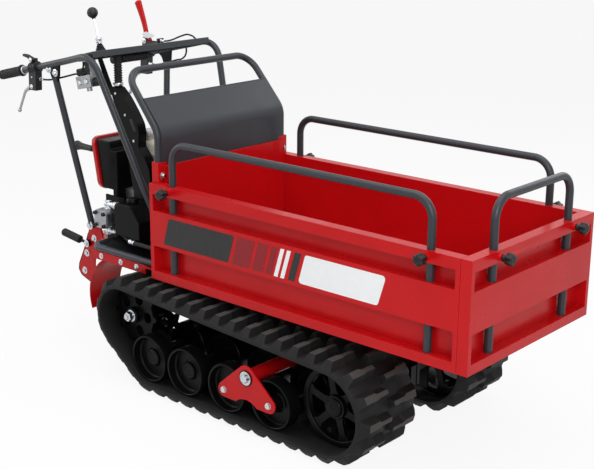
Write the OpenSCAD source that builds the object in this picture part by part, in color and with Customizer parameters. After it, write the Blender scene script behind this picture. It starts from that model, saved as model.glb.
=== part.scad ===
// Tracked power carrier: a walk-behind crawler with a tipping load box.
// x runs forward from the rear of the load box, y to the left, z up from the ground.

/* [Load box] */
// Length of the load box over its front panel
box_l = 1155; // [1060:5:1300]
// Width of the load box over its side panels
box_w = 610; // [570:2:680]
// Height of the side and front panels
box_h = 302; // [270:1:380]
// Height of the underside of the load box above the ground
box_z = 363; // [358:1:400]
// Depth of the folded panels
panel_t = 33; // [30:0.5:42]
// Thickness of the folded sheet
sheet_t = 2; // [1.5:0.1:3]
// Height of the top rail of a panel
top_rail_h = 32; // [28:1:40]
// Height of the bottom rail of a panel
foot_rail_h = 28; // [26:1:34]
// Height of the lower edge of the raised band above the underside
band_up = 108; // [80:1:125]
// Height of the raised band
band_h = 111; // [70:1:125]
// Width of the upright at each end of a panel
post_w = 14; // [8:1:20]
// How far the rear panel stands above the side panels
rear_rise = 62; // [50:1:100]
// Diameter of the rods that the panels slide out on
slide_rod_d = 16; // [12:0.5:18]
// Length of those rods
slide_rod_l = 200; // [170:5:230]

/* [Guard hoops] */
// Diameter of the hoop tubes
tube_d = 22; // [18:0.5:25]
// Height of the hoops above the panels
hoop_rise = 130; // [90:1:180]
// Bend radius of the hoops
hoop_bend = 55; // [40:1:75]
// Rear leg of a side hoop, from the rear of the box
side_hoop_rear = 87; // [70:1:160]
// Front leg of a side hoop, from the front of the box
side_hoop_front = 133; // [100:1:200]
// Distance between the legs of the front hoop
front_hoop_w = 372; // [300:2:440]
// Diameter of a clamp knob
knob_d = 34; // [28:1:42]
// Length of a clamp knob
knob_l = 32; // [26:1:40]
// Diameter of a clamp knob's stud
stud_d = 8; // [6:0.5:10]

/* [Headboard] */
// How far the headboard legs stand in from the sides of the box
head_inset = 30; // [28:1:36]
// Straight height of the headboard legs above the rear panel
head_straight = 90; // [70:1:120]
// How far the headboard leans back
head_lean = 143; // [110:1:160]
// Height of the leaning stretch
head_top = 166; // [150:1:210]
// Bend radius of the headboard hoop
head_bend = 62; // [45:1:70]
// Gap between the headboard's sheet and its top tube
head_gap = 103; // [85:1:125]

/* [Tracks] */
// Width of one track
track_w = 250; // [232:2:264]
// Distance between the middles of the two tracks
track_gauge = 478; // [472:2:500]
// Distance between the lugs of a track
lug_pitch = 60; // [52:1:72]
// Thickness of the rubber belt
belt_t = 14; // [10:0.5:16]
// Height of the lugs
lug_h = 22; // [16:0.5:24]
// Inside radius of the belt round the sprocket
sprocket_r = 97; // [90:0.5:100]
// Height of the sprocket
sprocket_z = 220; // [212:1:224]
// Inside radius of the belt round the front idler
idler_r = 118; // [108:0.5:122]
// Place of the front idler, from the rear of the box
idler_x = 735; // [725:1:765]
// Radius of the belt round the lower rollers
roller_r = 76; // [70:0.5:77]
// Place of the rear roller, from the rear of the box
roller_x = 20; // [12:1:26]
// Distance between the two fixed rollers
roller_gap = 160; // [157:0.5:166]
// Middle of the rocking bogie, from the rear of the box
bogie_x = 444; // [438:1:448]
// Distance between the rollers of the bogie
bogie_span = 176; // [164:1:180]

/* [Tipping] */
// Place of the tipping hinge, from the rear of the box
hinge_x = 827; // [815:1:860]
// Height of the box's underside above the tipping hinge
hinge_drop = 33; // [30:1:40]
// Place of the ram's upper pin, from the rear of the box
ram_head_x = 567; // [550:1:580]
// Outside diameter of the ram's barrel
barrel_d = 46; // [40:1:54]
// Diameter of the ram's rod
ram_rod_d = 22; // [18:1:26]

/* [Handlebars] */
// Diameter of the handlebar tubes
bar_d = 22; // [20:0.5:25]
// Distance between the handlebars
bar_gauge = 492; // [484:2:500]
// How far the grips reach behind the box
grip_back = 806; // [780:2:840]
// Height of the end of a grip
grip_z = 898; // [880:1:910]
// Height of the handlebar's upper corner
bar_top_z = 1020; // [1012:1:1032]
// Length of a grip
grip_l = 126; // [100:1:140]
// Diameter of a grip
grip_d = 33; // [28:0.5:38]
// Distance from the grips to the lever housings
housing_gap = 68; // [40:1:80]
// Length of the gear lever from its pivot to its ball
gear_l = 84; // [65:1:95]
// Diameter of the ball on the gear lever
ball_d = 35; // [28:1:42]

/* [Deck and engine] */
// Height of the underside of the rear deck
deck_z = 372; // [371:1:378]
// Thickness of the deck plate
deck_t = 6; // [5:0.5:8]
// Width of the recoil cover
recoil_w = 200; // [180:2:210]
// Height of the recoil cover
recoil_h = 176; // [160:1:200]
// Length of the fuel tank
tank_l = 150; // [120:2:160]
// Height of the fuel tank
tank_h = 92; // [70:1:105]
// Size of the hydraulic pump's square body
pump_d = 62; // [56:1:70]
// Diameter of the pressure hose
hose_d = 14; // [10:0.5:16]
// Diameter of the suction hose
suction_d = 24; // [18:0.5:26]

/* [Clearances] */
// Radial clearance of a running fit
run_gap = 0.05; // [0.02:0.01:0.1]
// Radial clearance of a sliding tube
slide_gap = 0.1; // [0.05:0.01:0.1]
// Clearance at a seat
seat_gap = 0.3; // [0.2:0.05:0.5]
// Clearance between the wheels and the belt
wheel_gap = 0.8; // [0.6:0.1:1.5]

/* [Hidden] */
$fn = 48;

paint_red = "#c4161c";
paint_grey = "#3a3d42";
black = "#1c1c1e";
zinc = "#c9ccd0";
rubber = "#232325";

// Box levels and faces
box_top = box_z + box_h;
box_in = box_w/2 - panel_t;
front_in = box_l - panel_t;
rear_top = box_top + rear_rise;
band_z = box_z + band_up;
floor_z = box_z + foot_rail_h;
leg_off = panel_t/2;
knob_z = box_top - top_rail_h/2;
boss_l = 10;
boss_d = 20;
knob_reach = boss_l + 2 + knob_l;
slide_z = box_z + foot_rail_h/2;
slide_xs = [197, 777];
slide_ys = [-180, 180];
sleeve_wall = 4;

// Whole machine
rear_end = -grip_back;
front_end = box_l + knob_reach;
mid_x = (rear_end + front_end)/2;

// Track wheels, as x, z and inside radius of the belt
roller_z = belt_t + lug_h + roller_r;
idler_z = belt_t + lug_h + idler_r;
sprocket_x = -90;
belt_wheels = [
    [idler_x, idler_z, idler_r],
    [sprocket_x, sprocket_z, sprocket_r],
    [roller_x, roller_z, roller_r]
];
side_y = track_gauge/2;
bogie_xs = [bogie_x - bogie_span/2, bogie_x + bogie_span/2];
roller_xs = [roller_x, roller_x + roller_gap, bogie_xs[0], bogie_xs[1]];
pivot_z = roller_z + 60;
wheel_in_u = 61;
wheel_out_u = 107;
guide_w = 40;
guide_h = 22;
tooth_count = 10;
axle_r = 10;
idler_axle_r = 12.5;
pivot_r = 15;
shaft_r = 15;
beam_y = 100;
beam_t = 8;
rail_w = 38;
rail_z = [180, 240];
bogie_plate_t = 5.5;
bogie_plate_u = wheel_out_u + 1.5;

// Tipping gear: both ram pins lie at one distance from the hinge, so the ram turns half as far as the box
hinge_z = box_z - hinge_drop;
ram_head_z = box_z - 13;
ram_arm = norm([ram_head_x - hinge_x, ram_head_z - hinge_z]);
ram_foot_angle = 237.5;
ram_foot = [hinge_x + ram_arm*cos(ram_foot_angle), hinge_z + ram_arm*sin(ram_foot_angle)];
ram_l = norm([ram_head_x - ram_foot[0], ram_head_z - ram_foot[1]]);
ram_tilt = atan2(ram_head_x - ram_foot[0], ram_head_z - ram_foot[1]);
ram_pin_r = 11;
ram_half = 20;
hinge_pin_r = 12;
hinge_lug_y = [46, 60];
tower_y = [62, 74];

// Handlebar lines
deck_top = deck_z + deck_t;
bar_y = bar_gauge/2;
bar_corner = [-284, bar_top_z];
corner_y = bar_y + 28;
splay_x = -450;
bar_foot = [-60, bar_y - 79];
bar_lean = atan2(norm([bar_foot[0] - bar_corner[0], corner_y - bar_foot[1]]), bar_top_z - deck_top);
bar_foot_z = deck_top + bar_d/2*sin(bar_lean) + seat_gap;
bar_bend = 70;
grip_rib = 1.5;
bar_slope = atan2(bar_corner[1] - grip_z, bar_corner[0] - rear_end);
function on_bar(x) = [x, grip_z + (x - rear_end)*tan(bar_slope)];
grip_end = on_bar(rear_end + (grip_d/2 - grip_rib)*sin(bar_slope));
housing_x = rear_end + grip_l + housing_gap;
housing_z = on_bar(housing_x)[1];
lever_pivot = [housing_x - 8, housing_z - 62];
lever_half = 7;
lever_pin_r = 3;
clutch_x = housing_x + 12;
clutch_pivot = [clutch_x - 8, on_bar(clutch_x)[1] + 42];
cable_stop = [58, 64];
throttle_pivot = [housing_x, housing_z + 28];
strut_top = [-506, on_bar(-506)[1] - 46];
strut_foot = [-446, deck_top + 32];
plate_y = 150;
plate_t = 6;
// The console lies along the bars: s runs forward on their line and n square to it
console_mid = -345;
console_s = [-45, 46];
console_clear = [0.6, 5];
console_h = 22;
console_wall = 3;
function console_at(s, n) = on_bar(console_mid) + s*[cos(bar_slope), sin(bar_slope)]
    + n*[-sin(bar_slope), cos(bar_slope)];
function bar_out(x) = bar_y + (corner_y - bar_y)*(x - splay_x)/(bar_corner[0] - splay_x);
console_rim = console_at(console_s[0] + console_wall/2, -console_h/2);
gear_y = -190;
gear_s = 8;
gear_up = 39;
gear_pivot = console_at(gear_s, console_h/2 + gear_up);
gear_lean = bar_slope + 4;
dump_pivot = [-480, deck_top - 32];
dump_rise = 7;
dump_y = -plate_y - plate_t;
dump_pin_r = 5;
starter_y = -113;
starter_drop = 46;
rope_r = 2;

// Engine layout
eng_x = [-362, -197];
crank_z = deck_top + 106;
crank_y = -20;
tank_x = -215;
tank_z = deck_top + 264;
recoil_lean = 31;
recoil_z = deck_top + 158;
recoil_t = 23;
shroud_back = -437;
recoil_mid_y = -30;
pulley_x = [-190, -164];
input_z = 300;
belt_cover_x = [-195.5, -157.5];
gearbox_x = [-157, -27];
gearbox_z = [sprocket_z - 62, deck_z - 32];
pump_x = -330;
pump_z = 473;
pump_face_y = -225;
pump_back_y = -160;
oil_tank_x = [-250, -132];
oil_tank_y = [-236, -153];
column_y = [-150, -115];
conduit_x = -328;
conduit_y = -132;
column_top = on_bar(conduit_x)[1] - 110;
fender_r = deck_z - sprocket_z + 0.5;
fender_x = -207;
fender_y = [bar_y + 16, 132];
guard_z = deck_top + tube_d/2 + seat_gap;
guard_y = bar_y + 13;
port_y = (pump_face_y + pump_back_y)/2;
high_port_z = pump_z + pump_d/2 + 14;
low_port_z = pump_z - pump_d/2 - 14;
hose_x = pump_x + 34 + seat_gap;
hose_bracket_x = -68;
hose_end_y = 23 - guard_y;
valve_s = [-109, -39];
valve_y = [-218, -172];
valve_n = [-95, -55];

// Shapes that repeat
module slab(y, w) translate([0, y, 0]) rotate([90, 0, 0]) linear_extrude(w, center = true) children();
module block(a, b) translate(a) cube(b - a);
module left() mirror([0, 1, 0]) children();
module both() {
    children();
    left() children();
}
module rod(p, q, d) {
    v = q - p;
    translate(p)
        rotate([0, acos(v[2]/norm(v)), atan2(v[1], v[0])])
            cylinder(h = norm(v), d = d);
}
module pin_y(x, z, y0, y1, r) translate([x, y1, z]) rotate([90, 0, 0]) cylinder(h = y1 - y0, r = r);

function unit(v) = v/norm(v);
function heading(p, i) = unit(p[i + 1] - p[i]);
function turn(p, i) = acos(max(-1, min(1, heading(p, i - 1)*heading(p, i))));
function trim(p, i, r) = i == 0 || i == len(p) - 1 ? 0 : r*tan(turn(p, i)/2);

// A round tube along straight lines with a bend of radius r at each corner.
// The bends are a hair thicker than the straights, which run a little way into them.
bend_swell = 0.1;
bend_lap = 1;
function inset(p, i, r) = i == 0 || i == len(p) - 1 ? 0 : trim(p, i, r) - bend_lap;
module bent_tube(p, d, r) {
    for (i = [0 : len(p) - 2])
        rod(p[i] + heading(p, i)*inset(p, i, r), p[i + 1] - heading(p, i)*inset(p, i + 1, r), d);
    for (i = [1 : len(p) - 2]) {
        a = heading(p, i - 1);
        b = heading(p, i);
        n = unit(b - a*(a*b));
        c = p[i] - a*trim(p, i, r) + n*r;
        k = cross(-n, a);
        multmatrix([
            [-n[0], a[0], k[0], c[0]],
            [-n[1], a[1], k[1], c[1]],
            [-n[2], a[2], k[2], c[2]],
            [0, 0, 0, 1]
        ])
            rotate_extrude(angle = turn(p, i))
                translate([r, 0]) circle(d = d + bend_swell);
    }
}

// A cable or hose swept along a smooth curve through hand-chosen points
function curve_at(p, i, t) =
    let (a = p[max(i - 1, 0)], b = p[i], c = p[i + 1], d = p[min(i + 2, len(p) - 1)])
    0.5*(2*b + (c - a)*t + (2*a - 5*b + 4*c - d)*t*t + (3*b - a - 3*c + d)*t*t*t);
function curve(p, n) = concat(
    [for (i = [0 : len(p) - 2], k = [0 : n - 1]) curve_at(p, i, k/n)],
    [p[len(p) - 1]]
);
function tangent_at(c, i) = unit(c[min(i + 1, len(c) - 1)] - c[max(i - 1, 0)]);
function side_of(t) = unit(cross(t, abs(t[2]) < 0.8 ? [0, 0, 1] : [1, 0, 0]));
function frames(c, i, s) =
    i == len(c) ? [] :
    let (t = tangent_at(c, i), n = unit(s - t*(s*t)))
    concat([[n, cross(t, n)]], frames(c, i + 1, n));
module cable(p, d, steps, sides) {
    c = curve(p, steps);
    f = frames(c, 0, side_of(tangent_at(c, 0)));
    m = len(c);
    pts = [for (i = [0 : m - 1], k = [0 : sides - 1])
        c[i] + d/2*(f[i][0]*cos(360*k/sides) + f[i][1]*sin(360*k/sides))];
    walls = [for (i = [0 : m - 2], k = [0 : sides - 1])
        let (a = i*sides + k, b = i*sides + (k + 1)%sides)
        each [[a, a + sides, b + sides], [a, b + sides, b]]];
    start = [for (k = [1 : sides - 2]) [0, k, k + 1]];
    end = [for (k = [1 : sides - 2]) [(m - 1)*sides, (m - 1)*sides + k + 1, (m - 1)*sides + k]];
    polyhedron(pts, concat(walls, start, end));
}

// A belt line wrapped round wheels that are listed counter-clockwise
function leave(a, b) =
    let (v = [b[0] - a[0], b[1] - a[1]])
    atan2(v[1], v[0]) - 90 + asin((a[2] - b[2])/norm(v));
function next(w, i) = w[(i + 1)%len(w)];
function reach(w, i) = leave(w[(i + len(w) - 1)%len(w)], w[i]);
function swing(w, i) = let (t = leave(w[i], next(w, i)) - reach(w, i)) t < 0 ? t + 360 : t;
function arc_len(w, i) = w[i][2]*swing(w, i)*PI/180;
function run_len(w, i) =
    let (n = next(w, i))
    sqrt(pow(n[0] - w[i][0], 2) + pow(n[1] - w[i][1], 2) - pow(n[2] - w[i][2], 2));
function loop_len(w, i = 0) = i == len(w) ? 0 : arc_len(w, i) + run_len(w, i) + loop_len(w, i + 1);
function polar(c, r, a) = [c[0] + r*cos(a), c[1] + r*sin(a)];
arc_step = 6;
function wrap(w, grow) = [for (i = [0 : len(w) - 1])
    let (n = ceil(swing(w, i)/arc_step))
    for (k = [0 : n]) polar(w[i], w[i][2] + grow, reach(w, i) + swing(w, i)*k/n)];
// Place on the belt line at length s: x, z and the angle that faces outwards
function spot(w, s, i = 0) =
    let (a = arc_len(w, i), b = run_len(w, i), out = reach(w, i) + swing(w, i))
    s <= a ? concat(polar(w[i], w[i][2], reach(w, i) + s/a*swing(w, i)), reach(w, i) + s/a*swing(w, i)) :
    s <= a + b ? concat(polar(w[i], w[i][2], out) + (s - a)*[-sin(out), cos(out)], out) :
    spot(w, s - a - b, (i + 1)%len(w));

// Rubber tracks
lug_count = round(loop_len(belt_wheels)/lug_pitch);
lug_root = 34;
lug_tip = 22;
lug_sink = 2;
module belt_ring() difference() {
    polygon(wrap(belt_wheels, belt_t));
    polygon(wrap(belt_wheels, 0));
}
module along_belt(phase) for (k = [0 : lug_count - 1]) {
    s = spot(belt_wheels, loop_len(belt_wheels)*(k + phase)/lug_count);
    translate([s[0], s[1]]) rotate(s[2]) children();
}
module lug_shape() polygon([
    [belt_t - lug_sink, -lug_root/2], [belt_t + lug_h, -lug_tip/2],
    [belt_t + lug_h, lug_tip/2], [belt_t - lug_sink, lug_root/2]
]);
module guide_shape() polygon([[lug_sink, -9], [-guide_h, -5], [-guide_h, 5], [lug_sink, 9]]);
module track() {
    slab(-side_y - track_w/4, track_w/2) {
        belt_ring();
        along_belt(0) lug_shape();
    }
    slab(-side_y + track_w/4, track_w/2) {
        belt_ring();
        along_belt(0.5) lug_shape();
    }
    slab(-side_y, guide_w) {
        belt_ring();
        along_belt(0) guide_shape();
    }
}
module tracks() color(rubber) both() track();

// Wheels turn on axles along y; u runs outwards from the middle of the right track
module on_axle(x, z) translate([x, -side_y, z]) rotate([90, 0, 0]) children();
module ring(r0, r1, u0, u1) translate([r0, u0]) square([r1 - r0, u1 - u0]);
module double_wheel(r, bore, hub, closed) rotate_extrude() {
    for (s = [0, 1]) mirror([0, s]) {
        ring(r - 17, r, wheel_in_u, wheel_out_u);
        ring(hub - 2, r - 15, 77, 85);
    }
    ring(bore, hub, closed ? -85 : -wheel_out_u, closed ? 82 : wheel_out_u);
    if (closed) ring(0, hub, 82, 88);
}
module roller(i) color(black)
    on_axle(roller_xs[i], roller_z) double_wheel(roller_r - wheel_gap, axle_r + run_gap, 26, i < 2);

idler_hub = 31;
idler_u = [44, 64];
module idler() color(black) on_axle(idler_x, idler_z) difference() {
    r = idler_r - wheel_gap;
    rotate_extrude() {
        for (s = [0, 1]) mirror([0, s]) {
            ring(r - 20, r, idler_u[0], idler_u[1]);
            ring(idler_hub - 2, r - 18, 50, 58);
        }
        ring(idler_axle_r + run_gap, idler_hub, -62, 58);
        ring(0, idler_hub, 58, 68);
    }
    for (k = [0 : 5]) rotate(60*k) translate([(r + idler_hub)/2 - 10, 0, -70]) cylinder(h = 140, r = 21);
}

sprocket_u = [48, 58];
tooth_tip = sprocket_r - 2.8;
module tooth_disc() linear_extrude(sprocket_u[1] - sprocket_u[0]) difference() {
    union() {
        circle(r = tooth_tip - 13);
        for (k = [0 : tooth_count - 1]) rotate(360*k/tooth_count)
            polygon([[tooth_tip - 18, -13], [tooth_tip, -7], [tooth_tip, 7], [tooth_tip - 18, 13]]);
    }
    for (k = [0 : 4]) rotate(72*k) translate([54, 0]) circle(r = 17);
}
gearbox_half = 58;
module sprocket() color(black) on_axle(sprocket_x, sprocket_z) {
    translate([0, 0, sprocket_u[0]]) tooth_disc();
    translate([0, 0, -sprocket_u[1]]) tooth_disc();
    translate([0, 0, -sprocket_u[1]]) cylinder(h = 2*sprocket_u[1], r = 32);
    translate([0, 0, gearbox_half + 2 - side_y]) cylinder(h = side_y - gearbox_half, r = shaft_r);
    translate([0, 0, sprocket_u[1]]) cylinder(h = 18, r = 25);
    translate([0, 0, sprocket_u[1]]) cylinder(h = 36, r = 15, $fn = 6);
}

// Rocking bogie: two plates, a pivot tube and two roller axles
module bogie_plate() difference() {
    polygon(wrap([
        [bogie_xs[1], roller_z, 24], [bogie_x, pivot_z + 4, 34], [bogie_xs[0], roller_z, 24]
    ], 0));
    translate([bogie_x, roller_z - 70]) circle(r = 62);
    translate([bogie_x, pivot_z]) circle(r = pivot_r + run_gap);
}
module bogie() color(paint_red) {
    for (u = [bogie_plate_u, -bogie_plate_u - bogie_plate_t])
        slab(-side_y - u - bogie_plate_t/2, bogie_plate_t) bogie_plate();
    on_axle(bogie_x, pivot_z) rotate_extrude()
        ring(pivot_r + run_gap, pivot_r + 7, -bogie_plate_u, bogie_plate_u);
    for (x = bogie_xs) {
        on_axle(x, roller_z) translate([0, 0, -bogie_plate_u]) cylinder(h = 2*bogie_plate_u, r = axle_r);
        on_axle(x, roller_z) translate([0, 0, bogie_plate_u]) cylinder(h = bogie_plate_t + 5, r = 8, $fn = 6);
    }
}

// Chassis: rails, roller beams, axles, tipping towers and cross shafts
module stub_axle(x, z, r, u) on_axle(x, z) translate([0, 0, beam_y - beam_t/2 - side_y])
    cylinder(h = side_y - beam_y + beam_t/2 + u, r = r);
module chassis_frame() color(paint_grey) {
    both() {
        block([-54, -beam_y, rail_z[0]], [hinge_x + 15, rail_w - beam_y, rail_z[1]]);
        block([roller_x - 32, -beam_y, roller_z - 20], [idler_x + 30, beam_t - beam_y, rail_z[0]]);
        block([-54, -beam_y, rail_z[1]], [-22, rail_w - beam_y, deck_z]);
        for (i = [0, 1]) stub_axle(roller_xs[i], roller_z, axle_r, 81.5);
        stub_axle(idler_x, idler_z, idler_axle_r, 57.5);
        pivot_end = bogie_plate_u + bogie_plate_t + seat_gap;
        stub_axle(bogie_x, pivot_z, pivot_r, pivot_end);
        on_axle(bogie_x, pivot_z) translate([0, 0, pivot_end]) cylinder(h = 3, r = 24);
        on_axle(bogie_x, pivot_z) translate([0, 0, pivot_end]) cylinder(h = 10, r = 13, $fn = 6);
        slab(-(tower_y[0] + tower_y[1])/2, tower_y[1] - tower_y[0]) {
            translate([hinge_x - 17, rail_z[0]]) square([34, hinge_z - rail_z[0]]);
            translate([hinge_x, hinge_z]) circle(r = 17);
        }
    }
    for (x = [300, 783]) block([x - 20, rail_w - beam_y - 1, rail_z[0] + 10],
        [x + 20, beam_y - rail_w + 1, rail_z[1] - 10]);
    pin_y(hinge_x, hinge_z, -tower_y[1], tower_y[1], hinge_pin_r);
    pin_y(ram_foot[0], ram_foot[1], beam_t/2 - beam_y, beam_y - beam_t/2, ram_pin_r);
}

// Rear deck with its side plates, track fenders and pump bracket
plate_outline = [
    [-487, deck_top], [-472, deck_top + 50], [-424, deck_top + 50], [-411, deck_top + 2],
    [-452, deck_z - 42], [-462, deck_z - 132], [-478, deck_z - 169], [-531, deck_z - 151],
    [-545, deck_z - 134], [-541, deck_z - 112], [-509, deck_z - 50]
];
module deck_half() polygon([
    [-22, -1], [-22, bar_y + 16], [-340, bar_y + 16], [-352, plate_y + plate_t],
    [-478, plate_y + plate_t], [-478, -1]
]);
module rear_frame() color(paint_red) {
    difference() {
        translate([0, 0, deck_z]) linear_extrude(deck_t) {
            deck_half();
            mirror([0, 1]) deck_half();
        }
        block([-201, -96, deck_z - 1], [-152, 96, deck_top + 1]);
    }
    both() {
        block([hose_bracket_x - 4, -guard_y - 14, deck_z], [-22, -bar_y, deck_top]);
        slab(-plate_y - plate_t/2, plate_t) polygon(plate_outline);
        translate([fender_x, -fender_y[0], sprocket_z]) rotate([90, 0, 0]) mirror([0, 0, 1])
            rotate(86) rotate_extrude(angle = 114)
                translate([fender_r - 3, 0]) square([3, fender_y[0] - fender_y[1]]);
    }
    block([hose_bracket_x, hose_end_y - 10, deck_z + 1],
        [hose_bracket_x + 6, hose_end_y + 10, low_port_z + 15]);
    pin_y(dump_pivot[0], dump_pivot[1], dump_y - 14, dump_y + 1, dump_pin_r);
}

module guard_tubes() color(paint_grey) both() bent_tube([
    [-35, -guard_y, guard_z], [-335, -guard_y, guard_z], [-335, -plate_y - plate_t - 14, guard_z]
], tube_d, 34);

// Drive line
axle_tube_r = 32;
module gearbox() color(paint_grey) difference() {
    union() {
        block([gearbox_x[0], -gearbox_half, gearbox_z[0]], [gearbox_x[1], gearbox_half, gearbox_z[1]]);
        pin_y(sprocket_x, sprocket_z, -beam_y - 12, beam_y + 12, axle_tube_r);
        translate([pulley_x[1], 0, input_z]) rotate([0, 90, 0])
            cylinder(h = gearbox_x[0] - pulley_x[1] + 1, r = 12);
    }
    for (s = [-1, 1]) scale([1, s, 1])
        pin_y(sprocket_x, sprocket_z, gearbox_half + 1, beam_y + 20, shaft_r + run_gap);
}
crank_pulley_r = 42;
input_pulley_r = 62;
module pulley(y, z, r) translate([pulley_x[0], y, z]) rotate([0, 90, 0]) difference() {
    cylinder(h = pulley_x[1] - pulley_x[0], r = r);
    translate([0, 0, 7]) rotate_extrude() translate([r - 9, 0]) square([12, 12]);
}
module drive_belt() color(black) {
    pulley(crank_y, crank_z, crank_pulley_r);
    pulley(crank_y + 20, input_z, input_pulley_r);
    loop = [[crank_y + 20, input_z, input_pulley_r - 8.5], [crank_y, crank_z, crank_pulley_r - 8.5]];
    translate([pulley_x[0] + 8, 0, 0]) rotate([90, 0, 90]) linear_extrude(10) difference() {
        polygon(wrap(loop, 8));
        polygon(wrap(loop, 0.3));
    }
}
module belt_cover() color(black) difference() {
    block([belt_cover_x[0], -108, deck_top], [belt_cover_x[1], 96, crank_z + 66]);
    block([belt_cover_x[0] + 2, -104, deck_top - 1], [belt_cover_x[1] - 2, 92, crank_z + 62]);
    translate([belt_cover_x[0] - 1, crank_y, crank_z]) rotate([0, 90, 0]) cylinder(h = 4, r = 14);
}

// Engine with its crank along the machine and the recoil starter facing back
fin_half = 52;
module on_cylinder() translate([0, 40, crank_z + 20]) rotate([-25, 0, 0]) children();
module engine_block() color(zinc) {
    block([eng_x[0], -88, deck_top], [eng_x[1], 70, crank_z + 62]);
    on_cylinder() {
        block([eng_x[0] + 20, -40, 0], [eng_x[1] - 30, 40, 120]);
        for (k = [0 : 6]) block([eng_x[0] + 12, -fin_half, 34 + 11*k], [eng_x[1] - 22, fin_half, 38 + 11*k]);
    }
    for (x = [tank_x - 62, tank_x - 24]) block([x, -80, crank_z + 60], [x + 12, -40, tank_z]);
    translate([eng_x[1] - 1, crank_y, crank_z]) rotate([0, 90, 0])
        cylinder(h = pulley_x[0] - eng_x[1] + 1, r = 10);
}
shroud_mid = recoil_z + recoil_h;
function back_at(z) = shroud_back - recoil_lean*(z - recoil_z)/recoil_h;
module fan_shroud() color(black) slab(recoil_mid_y, recoil_w - 14) polygon([
    [eng_x[0] - 26, recoil_z + 6], [eng_x[0] - 26, recoil_z - 60], [eng_x[0], recoil_z - 60],
    [eng_x[0], shroud_mid - 34],
    [eng_x[0] - 30, shroud_mid - 34], [eng_x[0] - 34, shroud_mid - 6],
    [back_at(shroud_mid - 6), shroud_mid - 6], [back_at(recoil_z + 6), recoil_z + 6]
]);
recoil_face = [shroud_back - recoil_t, shroud_back - recoil_lean - recoil_t];
module recoil_cover() color(paint_red) difference() {
    slab(recoil_mid_y, recoil_w) polygon([
        [shroud_back - seat_gap, recoil_z], [shroud_back - recoil_lean - seat_gap, shroud_mid],
        [recoil_face[1], shroud_mid], [recoil_face[0], recoil_z]
    ]);
    translate([recoil_face[1] - 10, starter_y, shroud_mid - starter_drop]) rotate([0, 90, 0])
        cylinder(h = 60, r = rope_r + seat_gap);
}
module starter_handle() color(black)
    translate([recoil_face[1] + 1, starter_y, shroud_mid - starter_drop])
        rotate([0, -90, 0]) rotate_extrude() polygon([
            [0, -14], [rope_r, -14], [rope_r, 2], [10, 2], [11, 40], [13, 76], [17, 86], [16, 94], [0, 96]
        ]);
module fuel_tank() color("#d9d2bd") {
    block([tank_x - tank_l/2, -104, tank_z], [tank_x + tank_l/2, 84, tank_z + tank_h]);
    translate([tank_x - 30, -68, tank_z + tank_h]) cylinder(h = 8, r = 26);
    translate([tank_x - 30, -68, tank_z + tank_h + 8 + seat_gap]) cylinder(h = 20, r = 31);
}
module intake_and_exhaust() color(black) {
    block([eng_x[0] + 4, 133, crank_z + 32], [eng_x[0] + 96, 226, crank_z + 134]);
    block([eng_x[1] - 60, 160, crank_z + 32], [eng_x[1] + 10, 226, crank_z + 130]);
    on_cylinder() for (x = [eng_x[0] + 60, eng_x[1] - 46])
        block([x - 14, fin_half + seat_gap, 70], [x + 14, 110, 96]);
}

// Hydraulics beside the engine
pump_round = 14;
module rounded_square(w, r) {
    square([w, w - 2*r], center = true);
    square([w - 2*r, w], center = true);
    for (a = [-1, 1], b = [-1, 1]) translate([a*(w/2 - r), b*(w/2 - r)]) circle(r = r);
}
module gear_pump() color(zinc) {
    slab((pump_face_y + pump_back_y - 8)/2, pump_back_y - 8 - pump_face_y) translate([pump_x, pump_z])
        rounded_square(pump_d, pump_round);
    slab(pump_back_y - 4, 8) translate([pump_x, pump_z]) rounded_square(pump_d + 8, pump_round);
    block([pump_x - 50, pump_back_y, deck_top + seat_gap], [pump_x + 45, pump_back_y + 6, pump_z + 64]);
    for (s = [-1, 1]) translate([pump_x, port_y, pump_z + s*pump_d/2 - 3]) {
        translate([0, 0, s > 0 ? 0 : -18]) cylinder(h = 24, r = 9);
        translate([-12, 0, s > 0 ? 17 : -11]) rotate([0, 90, 0]) cylinder(h = 46, r = 8);
    }
    for (a = [-1, 1], b = [-1, 1])
        pin_y(pump_x + a*pump_d*0.33, pump_z + b*pump_d*0.33, pump_face_y - 6, pump_face_y + 1, 6);
}
// Oil tank over a skirt that fills the guard loop; the pressure hose runs between them
skirt_x = [-304, -96];
module oil_tank() color(black) {
    top = deck_top + 167;
    low = low_port_z + hose_d/2 + 4;
    translate([0, oil_tank_y[0], 0]) mirror([0, 1, 0]) rotate([90, 0, 0])
        linear_extrude(oil_tank_y[1] - oil_tank_y[0]) polygon([
            [oil_tank_x[0], low], [oil_tank_x[1], low], [oil_tank_x[1], top - 50],
            [oil_tank_x[1] - 40, top], [oil_tank_x[0] + 14, top], [oil_tank_x[0], top - 14]
        ]);
    translate([oil_tank_x[0] + 45, (oil_tank_y[0] + oil_tank_y[1])/2, top]) cylinder(h = 16, r = 20);
    block([oil_tank_x[0], oil_tank_y[1] - 6, deck_top + seat_gap], [oil_tank_x[1], oil_tank_y[1], low + 1]);
    translate([skirt_x[0], 0, 0]) rotate([90, 0, 90]) linear_extrude(skirt_x[1] - skirt_x[0]) polygon([
        [tube_d/2 + 2 - guard_y, deck_top + seat_gap], [pump_back_y - 2, deck_top + seat_gap],
        [pump_back_y - 2, low_port_z - hose_d/2 - 7], [pump_back_y - 14, low_port_z - hose_d/2 - 7],
        [tube_d/2 + 2 - guard_y, deck_top + 6]
    ]);
}
suction_route = [for (k = [0 : 4]) [
    hose_x + (oil_tank_x[0] - seat_gap - hose_x)*k/4, port_y, high_port_z
]];
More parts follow.
